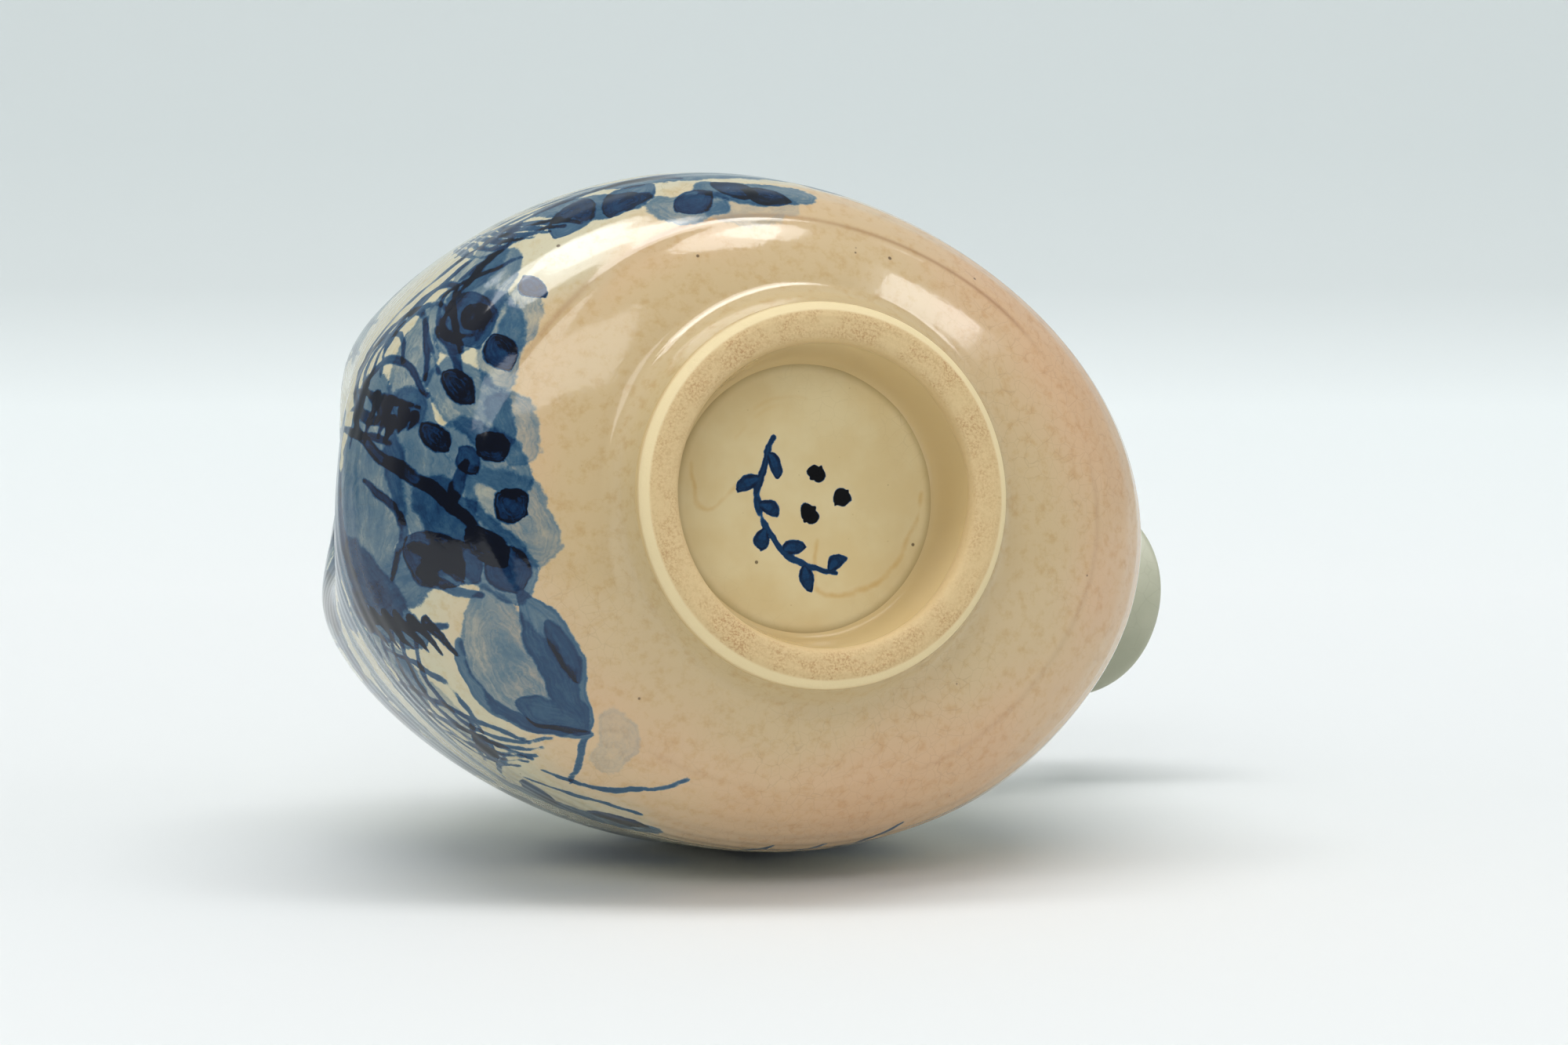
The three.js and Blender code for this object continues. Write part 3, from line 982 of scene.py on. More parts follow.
        self.add(high, line, 1.1, 0.55, (0.275, 134), (0.23, 131), (0.20, 126), (0.175, 121))
        self.add(low, line, 1.2, 0.55, (0.285, 128), (0.245, 127), (0.215, 122), (0.195, 117))
        self.add(high, line, 1.0, 0.46, (0.2, 128), (0.235, 122), (0.27, 117))
        self.add(low, line, 1.0, 0.46, (0.2, 119), (0.25, 117), (0.30, 111))
        self.add(high, line, 1.1, 0.50, (0.28, 124), (0.24, 120), (0.2, 117.5))
        self.add(low, line, 1.1, 0.60, (0.24, 80), (0.22, 78.5), (0.205, 78))
        self.add(high, line, 1.1, 0.60, (0.245, 74), (0.225, 71.5), (0.205, 70.5))
        self.add(low, line, 1.2, 0.62, (0.25, 69), (0.22, 64.5), (0.183, 59))

    def far_side(self) -> None:
        """The same plants, in seeded loose clumps, over the shoulder and the far sides."""
        rng = np.random.default_rng(self.seed)
        washes = (Layer.WASH_LOW, Layer.WASH_MIDDLE, Layer.WASH_HIGH)
        for number, centre in enumerate((22, 60, 92, 122, 152, 206, 238, 268, 300, 336)):
            base = 0.34 + 0.04 * rng.random()
            self.add(
                washes[number % 3], Brush.WASH, 9.0, 0.34,
                (base, centre - 9), (base + 0.05, centre), (base + 0.02, centre + 9),
            )
            self.add(
                washes[(number + 1) % 3], Brush.WASH, 6.5, 0.30,
                (base + 0.07, centre - 4), (base + 0.1, centre + 3), (base + 0.09, centre + 8),
            )
            for k in range(5):
                level = base + rng.uniform(-0.02, 0.12)
                around = centre + rng.uniform(-13, 13)
                lean = rng.uniform(-4, 4)
                tip = level + rng.uniform(0.03, 0.055)
                layer = (Layer.LEAF_LOW, Layer.LEAF_HIGH)[k % 2]
                middle = (0.5 * (level + tip), around + lean)
                self.add(
                    layer, Brush.LEAF, rng.uniform(3.5, 6.5), rng.uniform(0.45, 0.8),
                    (level, around), middle, (tip, around + 1.4 * lean),
                )
            for k in range(5):
                level = base + rng.uniform(-0.05, 0.04)
                around = centre + rng.uniform(-14, 14)
                bend = rng.uniform(-16, 16)
                layer = (Layer.LINE_LOW, Layer.LINE_HIGH)[k % 2]
                self.add(
                    layer, Brush.LINE, 1.0, 0.5,
                    (level, around), (level + 0.09, around + 0.2 * bend), (level + 0.16, around + bend),
                )

    def compose(self) -> dict[Layer, list[Stroke]]:
        """Paints every part.

        Returns:
            All strokes by layer.
        """
        self.washes()
        self.leaves()
        self.broad_leaf()
        self.stems()
        self.fence()
        self.grasses()
        self.far_side()
        return self.layers


@dataclass
class FootDrawing:
    """A plain brush drawing in the foot recess: an arched leafy branch round three berries.

    Points are millimetres from the foot's axis.
    """

    leaves: int = 7
    reach: float = 3.2

    def branch(self) -> list[Stroke]:
        """Arched stem with leaves in turn on either side, each slanted along the stem.

        Returns:
            The stem and then the leaves.
        """
        stem = ((-5.0, -7.0), (-7.5, 0.5), (-2.5, 8.0), (5.5, 9.0))
        place = np.linspace(0.1, 0.95, self.leaves)
        root = spline(np.array(stem), place)
        along = spline(np.array(stem), place + 0.02) - root
        along /= np.linalg.norm(along, axis=1, keepdims=True)
        across = along[:, ::-1] * (-1.0, 1.0) * np.where(np.arange(self.leaves) % 2, 1.0, -1.0)[:, None]
        middle = root + self.reach * (0.25 * along + 0.5 * across)
        tip = root + self.reach * (0.7 * along + 0.75 * across)
        paths = np.stack([root, middle, tip], axis=1).tolist()
        leaves = [Stroke(Brush.LEAF, path, 1.9, 0.70) for path in paths]
        return [Stroke(Brush.LINE, stem, 1.0, 0.62), *leaves]

    def berries(self) -> list[Stroke]:
        """Three round black dabs in the hollow of the branch."""
        middles = ((0.8, -3.6), (4.6, -1.0), (0.6, 1.6))
        return [Stroke(Brush.WASH, ((x, y), (x + 0.5, y + 0.3)), 2.6, 1.1) for x, y in middles]


# --------------------------------------------------------------------------- clay forms


@dataclass
class BodyForm:
    """Outside of the oval body, in millimetres from the foot's axis.

    Attributes:
        rings: Height, shift to the neck, half length, half width and tilt of each
            control oval, from the foot to the root of the neck.
        oval_end: Level at which the body is round again.
        egg: Difference of width between the two ends.
        square: Fullness of both ends.
        twist: Turn of the oval in degrees.
        side_shift: Sideways shift of the belly.
        skew: Sideways lean of the two ends.
        dent: Depth, side place, height, half width, half height and reach of the dent.
    """

    rings: np.ndarray = field(
        default_factory=lambda: np.array(
            [
                (7.0, 0.0, 25.0, 25.0, 0.0),
                (10.9, 0.0, 43.4, 38.1, 0.0),
                (22.7, -1.2, 56.0, 44.3, 0.0),
                (42.3, -2.0, 54.3, 42.5, 1.0),
                (59.9, -1.0, 55.1, 43.2, 6.0),
                (71.5, 4.5, 48.2, 37.3, 13.0),
                (77.5, 18.0, 36.0, 28.0, 24.0),
                (77.5, 32.5, 23.0, 20.0, 37.0),
                (74.0, 43.0, 12.0, 12.0, 46.0),
                (75.5, 48.5, 9.2, 9.2, 52.0),
            ]
        )
    )
    oval_end: float = 0.9
    egg: float = 0.03
    square: float = -0.04
    twist: float = 8.0
    side_shift: float = 2.0
    skew: float = -0.07
    dent: tuple[float, ...] = (14.4, 3.8, 55.3, 11.0, 15.0, 35.0)

    def surface(self, level: np.ndarray, degrees: np.ndarray) -> np.ndarray:
        """Point on the outside of the clay.

        An oval ring is read from the splined control rings, turned and skewed a little,
        tilted about the cross axis, and pushed in by a bell-shaped dent at one end.

        Args:
            level: Place up the body, 0 at the foot and 1 at the neck.
            degrees: Place around it, 0 below the mouth.

        Returns:
            Points, last axis x, y, z.
        """
        level, degrees = np.broadcast_arrays(level, degrees)
        height, ahead, long, wide, tilt = np.moveaxis(spline(self.rings, level), -1, 0)
        belly = np.sin(np.pi * np.minimum(level / self.oval_end, 1.0))
        turn = np.radians(degrees)
        c, s = np.cos(turn), np.sin(turn)
        x = long * c
        y = wide * s * (1 - belly * (self.egg * c - self.square * c * c))
        twist = np.radians(self.twist) * belly
        x, y = x * np.cos(twist) - y * np.sin(twist), x * np.sin(twist) + y * np.cos(twist)
        y = y + belly * (self.side_shift + self.skew * x * c * c)
        lean = np.radians(tilt)
        x, z = ahead + x * np.cos(lean), height - x * np.sin(lean)
        depth, side, at, half_width, half_height, reach = self.dent
        bell = np.exp(-(((y - side) / half_width) ** 2) - ((z - at) / half_height) ** 2)
        x = x + depth * bell * smooth(-x, 0.0, reach)
        return np.stack([x, y, z], axis=-1)

    def normal(self, level: np.ndarray, degrees: np.ndarray) -> np.ndarray:
        """Outward unit normal: the cross product of small steps around and up the surface.

        Args:
            level: Place up the body, 0 at the foot and 1 at the neck.
            degrees: Place around it.

        Returns:
            Unit vectors, last axis x, y, z.
        """
        step = 1e-3
        low, high = np.maximum(level - step, 0.0), np.minimum(level + step, 1.0)
        up = self.surface(high, degrees) - self.surface(low, degrees)
        around = self.surface(level, degrees + 0.1) - self.surface(level, degrees - 0.1)
        out = np.cross(around, up)
        return out / np.linalg.norm(out, axis=-1, keepdims=True)


@dataclass(frozen=True)
class HalfPlan:
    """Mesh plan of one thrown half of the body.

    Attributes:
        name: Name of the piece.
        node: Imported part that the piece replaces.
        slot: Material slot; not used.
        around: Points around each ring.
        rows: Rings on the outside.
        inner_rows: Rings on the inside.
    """

    name: str
    node: str
    slot: str
    around: int
    rows: int
    inner_rows: int


@dataclass
class GlazedBody:
    """The body's two thrown halves, bowl and shoulder, with the painting over both."""

    form: BodyForm = field(default_factory=BodyForm)
    bowl: HalfPlan = HalfPlan("bowl", "lower_body", "warm_glaze", 610, 140, 8)
    shoulder: HalfPlan = HalfPlan("shoulder", "upper_body", "painted_glaze", 560, 150, 16)
    seam: float = 0.3
    seam_gap: float = 0.0002
    wall: float = 3.2
    floor_under: float = 9.7
    floor_top: float = 13.5
    edge_level: float = 0.098
    foot_radius: float = 24.1
    fillet_depth: float = 5.2
    fillet_reach: float = 3.6
    fillet_rows: int = 9

    def columns(self, plan: HalfPlan) -> np.ndarray:
        """Degrees around, closer together at the painted end than under the mouth."""
        v = np.arange(plan.around) / plan.around
        return 360.0 * v + 24.0 * np.sin(2 * np.pi * v)

    def levels(self, plan: HalfPlan, first: float, last: float) -> np.ndarray:
        """Levels of the outer rings, even in length along the painted end.

        Args:
            plan: Mesh plan.
            first: Lowest level.
            last: Highest level.

        Returns:
            One level per ring, as a column.
        """
        fine = np.linspace(first, last, 2000)
        side = self.form.surface(fine, np.full_like(fine, 180.0))
        run = np.concatenate([[0.0], np.cumsum(np.linalg.norm(np.diff(side, axis=0), axis=1))])
        return np.interp(np.linspace(0.0, run[-1], plan.rows), run, fine)[:, None]

    def relief(self, level: np.ndarray, points: np.ndarray) -> np.ndarray:
        """Height of the handmade surface over the true form, in millimetres.

        Slow hollows, throwing rings that are sine waves of the height, and a low rounded
        ridge where the bottom turns up into the side.

        Args:
            level: Level of each point.
            points: The points in millimetres.

        Returns:
            Heights along the normal.
        """
        slow = 0.20 * ripple(points, 38.0)
        rings = 0.03 * np.sin(2 * np.pi * points[..., 2] / 2.9 + 0.8 * ripple(points, 30.0, SEED + 1))
        wave = self.edge_level + 0.006 * ripple(points, 45.0, SEED + 2)
        ridge = 0.12 * np.exp(-(((level - wave) / 0.006) ** 2))
        calm = smooth(level, 0.025, 0.07) * (1.0 - smooth(level, 0.93, 1.0))
        return calm * (slow + rings + ridge)

    def skin(self, level: np.ndarray, degrees: np.ndarray) -> np.ndarray:
        """Outer points: the true form plus its relief along the normal.

        Args:
            level: Place up the body.
            degrees: Place around it.

        Returns:
            Points in millimetres.
        """
        level, degrees = np.broadcast_arrays(level, degrees)
        points = self.form.surface(level, degrees)
        return points + self.form.normal(level, degrees) * self.relief(level, points)[..., None]

    def lining(self, level: np.ndarray, degrees: np.ndarray) -> np.ndarray:
        """Inner points, one wall thickness inside the true form and above the floor.

        Args:
            level: Place up the body.
            degrees: Place around it.

        Returns:
            Points in millimetres.
        """
        level, degrees = np.broadcast_arrays(level, degrees)
        points = self.form.surface(level, degrees) - self.wall * self.form.normal(level, degrees)
        points[..., 2] = np.maximum(points[..., 2], self.floor_top)
        return points

    def build_bowl(self) -> bpy.types.Object:
        """Makes the lower half, from the floor inside the foot ring up to the seam.

        Returns:
            The bowl.
        """
        plan, edge = self.bowl, self.seam - self.seam_gap
        degrees = self.columns(plan)[None, :]
        level = np.vstack([self.levels(plan, 0.0, edge - self.seam_gap), [[edge]]])
        outer = self.skin(level, degrees)
        down = np.linspace(edge, 0.0, plan.inner_rows)[:, None]
        start = np.linspace(self.foot_radius / 25.0, 1.0, self.fillet_rows)[:-1, None, None]
        wall = outer[:1] * start
        wall[..., 2] = outer[0, 0, 2] - 6.0 * (1.0 - start[..., 0])
        outer = self.run_down(np.concatenate([wall, outer]))
        under = outer[[0, 0]] * np.array([0.66, 0.985])[:, None, None]
        under[..., 2] = self.floor_under
        rings = np.concatenate([under, outer, self.lining(down, degrees)])
        level = np.vstack([np.zeros((len(wall) + 2, 1)), level])
        return self.finish(plan, rings, level, Ends.POLES)

    def run_down(self, points: np.ndarray) -> np.ndarray:
        """Pulls the points near the foot ring down its outside in a concave fillet.

        The fall is deepest at the ring and dies away as a power of the distance, so that
        the fillet ends tangent to the bowl.

        Args:
            points: Outer points in millimetres.

        Returns:
            The points with the fillet.
        """
        radius = np.linalg.norm(points[..., :2], axis=-1)
        away = np.clip((radius - self.foot_radius) / self.fillet_reach, 0.0, 1.0)
        points = points.copy()
        points[..., 2] -= self.fillet_depth * (1.0 - away) ** 2.6
        return points

    def build_shoulder(self) -> bpy.types.Object:
        """Makes the upper half, from the seam up to the hole for the neck.

        Returns:
            The shoulder.
        """
        plan = self.shoulder
        degrees = self.columns(plan)[None, :]
        level = np.vstack([[[self.seam]], self.levels(plan, self.seam + self.seam_gap, 1.0)])
        down = np.linspace(1.0, self.seam, plan.inner_rows)[:, None]
        rings = np.concatenate([self.skin(level, degrees), self.lining(down, degrees)])
        return self.finish(plan, rings, level, Ends.LOOP)

    def finish(self, plan: HalfPlan, rings: np.ndarray, level: np.ndarray, ends: Ends) -> bpy.types.Object:
        """Paints the outer rings, leaves the inner ones plain, and makes the solid.

        Args:
            plan: Mesh plan.
            rings: All points, outer rings first.
            level: Level of each outer ring.
            ends: How the rings are closed.

        Returns:
            The half.
        """
        outer = rings[: len(level)]
        grid, degrees = np.broadcast_arrays(level, self.columns(plan)[None, :])
        inside = (len(rings) - len(level), plan.around)
        paint = {}
        for label, values in self.paint(grid, degrees, outer).items():
            blank = np.zeros(inside + values.shape[2:])
            paint[label] = np.concatenate([values, blank])
        piece = solid_of_rings(plan.name, rings, ends, paint)
        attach(piece, "root")
        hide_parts(plan.node)
        return piece

    def paint(self, level: np.ndarray, degrees: np.ndarray, points: np.ndarray) -> dict[str, np.ndarray]:
        """Values of each painted layer at the outer points.

        Args:
            level: Level of each point.
            degrees: Place around of each point.
            points: The points in millimetres.

        Returns:
            Arrays by layer name.
        """
        layers = {}
        for layer, strokes in BrushPainting().compose().items():
            layers[layer.value] = painted(points, strokes, self.form.surface)
        turn = np.radians(degrees)
        wave = 0.02 * ripple(points, 20.0, SEED + 4)
        start = 0.21 - 0.10 * np.cos(turn - np.radians(190.0)) + wave
        wander = self.edge_level + 0.006 * ripple(points, 45.0, SEED + 2)
        broken = smooth(ripple(points, 25.0, SEED + 5), -0.7, 0.4)
        edge = np.exp(-(((level - wander - 0.004) / 0.0035) ** 2)) * broken
        top = smooth(-np.sin(turn), 0.1, 0.8)
        return layers | {
            "height": np.clip(points[..., 2] / 60.0, 0.0, 1.0),
            "ground": smooth(level, start - 0.035, start + 0.03),
            "blush": self.blush(level, turn, points),
            "edge": edge * (0.25 + 0.75 * top),
        }

    def blush(self, level: np.ndarray, turn: np.ndarray, points: np.ndarray) -> np.ndarray:
        """Where the clay may blush: a band round the underside, wide below the mouth,
        narrow at the dent, and faint beside the foot.

        Args:
            level: Level of each point.
            turn: Place around in radians.
            points: The points in millimetres.

        Returns:
            Strengths from 0 to 1.
        """
        near_mouth = 0.5 + 0.5 * np.cos(turn)
        at = 0.075 + 0.07 * near_mouth
        wide = 0.035 + 0.07 * near_mouth
        band = np.exp(-(((level - at) / wide) ** 2))
        patch = 0.75 + 0.25 * ripple(points, 30.0, SEED + 6)
        return np.clip(band * patch, 0.0, 1.0)

    def build(self) -> list[bpy.types.Object]:
        """Makes both halves in one finish.

        Returns:
            The bowl and the shoulder.
        """
        halves = [self.build_bowl(), self.build_shoulder()]
        glaze = PaintedStoneware().material()
        for half in halves:
            half.data.materials.append(glaze)
        return halves


@dataclass
class FootRing:
    """Turned foot ring: a closed profile of radius and height carried round the axis."""

    profile: np.ndarray = field(
        default_factory=lambda: np.array(
            [
                (24.1, 6.0),
                (24.25, 4.2),
                (24.35, 2.6),
                (24.3, 1.7),
                (24.0, 0.95),
                (23.45, 0.38),
                (22.8, 0.06),
                (22.2, 0.0),
                (21.3, 0.0),
                (20.2, 0.05),
                (19.65, 0.25),
                (19.3, 0.75),
                (19.1, 1.6),
                (18.75, 3.6),
                (18.4, 5.8),
                (18.05, 7.6),
                (17.6, 8.9),
                (16.9, 9.5),
                (16.6, 9.95),
                (18.6, 9.9),
                (22.6, 9.8),
                (23.9, 8.6),
            ]
        )
    )
    steps: int = 150
    around: int = 480

    def build(self) -> bpy.types.Object:
        """Makes the ring: the splined profile turned round the axis, with an uneven edge.

        Returns:
            The foot ring.
        """
        closed = np.vstack([self.profile, self.profile[:1]])
        place = np.linspace(0.0, 1.0, self.steps + 1)[:-1]
        radius, height = spline(closed, place).T
        turn = np.radians(np.arange(self.around) * 360.0 / self.around)[None, :]
        ring = np.stack([np.cos(turn), np.sin(turn), np.zeros_like(turn)], axis=-1)
        points = radius[:, None, None] * ring
        points[..., 2] = height[:, None]
        edge = smooth(-height, -1.5, -0.1)[:, None]
        wobble = 0.08 * ripple(points, 16.0) + 0.02 * ripple(points, 3.0, SEED + 1)
        grooves = 0.012 * np.sin(2 * np.pi * radius / 0.9)[:, None]
        points[..., 2] = np.maximum(points[..., 2] + edge * (wobble + grooves + 0.1), 0.0)
        points[..., :2] *= (1.0 + 0.002 * ripple(points, 30.0, SEED + 2))[..., None]
        glaze_line = 1.6 + 0.3 * ripple(points, 12.0, SEED + 3)
        glaze = smooth(points[..., 2] - glaze_line, -0.15, 0.35)
        flat = 1.0 - smooth(points[..., 2], 0.15, 0.8)
        sag = 0.6 + 0.4 * np.abs(np.sin(turn))
        # painted highlight: lip is a lighter band round the outer rounding of the resting edge, below 1.8
        # mm
        outer = np.broadcast_to(smooth(radius, 22.9, 23.3)[:, None], flat.shape)
        lip = outer * (1.0 - smooth(points[..., 2], 1.2, 1.8))
        layers = {"glaze": glaze[::-1], "rub": (flat * sag)[::-1], "lip": lip[::-1]}
        return solid_of_rings("turned_foot", points[::-1], Ends.LOOP, layers)

    def dress(self, piece: bpy.types.Object) -> None:
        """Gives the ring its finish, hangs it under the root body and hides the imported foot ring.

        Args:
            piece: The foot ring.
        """
        piece.data.materials.append(BareClay().material())
        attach(piece, "root")
        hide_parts("foot_ring")


@dataclass
class RecessFloor:
    """Glazed floor inside the foot ring, a shallow closed lens with the brush drawing."""

    radius: float = 17.8
    height: float = 9.45
    thickness: float = 0.3
    dome: float = 0.25
    rings: int = 110
    around: int = 330

    def surface(self, x: np.ndarray, y: np.ndarray) -> np.ndarray:
        """Point on the underside, a flat paraboloid that hangs lowest on the axis."""
        reach = (x**2 + y**2) / self.radius**2
        return np.stack([x, y, self.height - self.dome * (1.0 - reach)], axis=-1)

    def build(self) -> bpy.types.Object:
        """Makes the lens from rings that widen from the axis, and paints its layers.

        Returns:
            The recess floor.
        """
        radius = self.radius * np.linspace(0.01, 1.0, self.rings)[:, None]
        turn = np.radians(np.arange(self.around) * 360.0 / self.around)[None, :]
        below = self.surface(radius * np.cos(turn), radius * np.sin(turn))
        below[..., 2] += 0.03 * ripple(below, 7.0)
        above = below[[-1, 0]].copy()
        above[..., 2] = self.height + self.thickness
        flat = below.copy()
        flat[..., 2] = 0.0
        drawing = FootDrawing()
        branch = painted(flat, drawing.branch(), self.level_plane)
        berries = painted(flat, drawing.berries(), self.level_plane)
        pool = ((-15.5, -2.0), (-14.5, 2.5), (-12.5, 3.5), (-11.0, 2.5), (-9.0, -0.5))
        run = ((2.5, 5.0), (2.0, 10.5), (5.0, 12.0), (9.5, 10.5), (14.5, 6.0), (15.6, -3.0))
        tides = [
            Stroke(Brush.LINE, pool, 0.5, 0.9),
            Stroke(Brush.LINE, run, 0.5, 1.0),
            Stroke(Brush.LINE, ((-9.0, -9.0), (-6.5, -12.0), (-2.0, -12.5)), 0.4, 0.35),
            Stroke(Brush.LINE, ((-10.0, -6.0), (-8.0, -9.5), (-5.0, -11.0)), 0.4, 0.3),
        ]
        tide = painted(flat, tides, self.level_plane)
        # painted shade: rim rises from 0.89 of the radius to the edge, darkening the floor where it meets
        # the wall
        rim = np.broadcast_to(smooth(radius, 0.89 * self.radius, self.radius), flat.shape[:2])
        layers = {"branch": branch, "berries": berries, "tide": tide, "rim": rim}
        layers = {label: np.concatenate([v, np.zeros((2,) + v.shape[1:])]) for label, v in layers.items()}
        return solid_of_rings("recess_floor", np.concatenate([below, above]), Ends.POLES, layers)

    def level_plane(self, x: np.ndarray, y: np.ndarray) -> np.ndarray:
        """The drawing's plane."""
        return np.stack([x, y, np.zeros_like(x)], axis=-1)

    def dress(self, piece: bpy.types.Object) -> None:
        """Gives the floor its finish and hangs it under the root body.

        Args:
            piece: The recess floor.
        """
        piece.data.materials.append(RecessGlaze().material())
        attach(piece, "root")


@dataclass
class LeaningNeck:
    """Neck tube and flared lip on the body's last ring, bent along a straight line."""

    form: BodyForm = field(default_factory=BodyForm)
    mouth_ahead: float = 69.6
    mouth_height: float = 90.0
    mouth_tilt: float = 54.0
    mouth_radius: float = 14.9
    waist: float = 8.6
    wall: float = 2.8
    lip_depth: float = 9.5
    around: int = 240

    def station(self, s: np.ndarray) -> np.ndarray:
        """Shift, height and tilt, in a straight line from the root to the mouth.

        Args:
            s: Places from 0 at the root to 1 at the mouth.

        Returns:
            One row of three values per place.
        """
        height, ahead, _, _, tilt = self.form.rings[-1]
        root = np.array([ahead, height, tilt])
        mouth = np.array([self.mouth_ahead, self.mouth_height, self.mouth_tilt])
        return root + np.asarray(s)[..., None] * (mouth - root)

    def length(self) -> float:
        """Length from the root to the plane of the mouth.

        Returns:
            Millimetres.
        """
        (x0, z0, _), (x1, z1, _) = self.station(np.array([0.0, 1.0]))
        return float(np.hypot(x1 - x0, z1 - z0))

    def rings(self, place: np.ndarray, radius: np.ndarray) -> np.ndarray:
        """Rings of the given radii, each square to the neck at its place.

        Args:
            place: Places from 0 at the root to 1 at the mouth.
            radius: Radius of each ring in millimetres.

        Returns:
            Points, rings by points by 3.
        """
        ahead, height, tilt = (v[:, None] for v in self.station(place).T)
        turn = np.radians(np.arange(self.around) * 360.0 / self.around)[None, :]
        lean = np.radians(tilt)
        out = radius[:, None] * np.cos(turn)
        side = np.broadcast_to(radius[:, None] * np.sin(turn), out.shape)
        return np.stack([ahead + out * np.cos(lean), side, height - out * np.sin(lean)], axis=-1)

    def build_tube(self) -> bpy.types.Object:
        """Makes the waisted tube, sunk slightly into the shoulder at its root.

        Its radius falls to the waist and rises again as a squared cosine.

        Returns:
            The neck tube.
        """
        root = self.form.rings[-1, 2]
        top = 1.0 - self.lip_depth / self.length()
        up = np.linspace(-0.02, top, 40)
        radius = self.waist + (root - self.waist) * np.cos(np.pi * np.clip(up / top, 0, 1)) ** 2
        radius = radius + 0.12 * np.exp(-((up / 0.03) ** 2))
        outside = self.rings(up, radius)
        outside = outside + 0.05 * ripple(outside, 9.0)[..., None]
        inside = self.rings(up[::-1], radius[::-1] - self.wall)
        rings = np.concatenate([outside, inside])
        return solid_of_rings("neck_tube", rings, Ends.LOOP, {"rim": np.zeros(rings.shape[:2])})

    def build_lip(self) -> bpy.types.Object:
        """Makes the flared lip from a splined profile of radius and height.

        Returns:
            The lip.
        """
        root, lip, depth = self.form.rings[-1, 2], self.mouth_radius, self.lip_depth
        profile = np.array(
            [
                (root, -0.2),
                (root + 0.05, 1.6),
                (root + 0.5, 3.6),
                (root + 1.6, 5.6),
                (root + 3.4, 7.3),
                (lip - 0.9, 8.7),
                (lip + 0.15, 9.6),
                (lip - 0.1, 10.7),
                (lip - 1.4, 11.1),
                (lip - 2.9, 10.0),
                (root + 0.6, 7.4),
                (root - 1.7, 4.8),
                (root - 2.7, 2.4),
                (root - self.wall, -0.2),
            ]
        )
        closed = np.vstack([profile, profile[:1]])
        radius, height = spline(closed, np.linspace(0.0, 1.0, 121)[:-1]).T
        place = 1.0 - (depth - height) / self.length()
        rings = self.rings(place, radius)
        rings = rings + (0.12 * ripple(rings, 22.0))[..., None] * (height[:, None, None] > 6.0)
        rim = np.broadcast_to(np.exp(-(((height - 11.0) / 0.7) ** 2))[:, None], rings.shape[:2])
        return solid_of_rings("flared_lip", rings, Ends.LOOP, {"rim": 0.6 * rim})

    def dress(self, tube: bpy.types.Object, lip: bpy.types.Object) -> None:
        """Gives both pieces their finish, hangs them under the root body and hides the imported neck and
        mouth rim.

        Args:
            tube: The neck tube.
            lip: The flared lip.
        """
        glaze = NeckGlaze().material()
        for piece, node in ((tube, "neck"), (lip, "mouth_rim")):
            piece.data.materials.append(glaze)
            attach(piece, "root")
            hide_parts(node)


# --------------------------------------------------------------------------- studio


@dataclass(frozen=True)
class SoftBox:
    """One rectangular soft light.

    Attributes:
        name: Name of the light.
        place: Shift from the bottle's middle to the right, up and to the front, in metres.
        size: Width and depth in metres.
        power: Power in watts.
        gloss_only: Whether it shows only in the glaze, as a bright card would.
    """

    name: str
    place: tuple[float, float, float]
    size: tuple[float, float]
    power: float
    gloss_only: bool = False


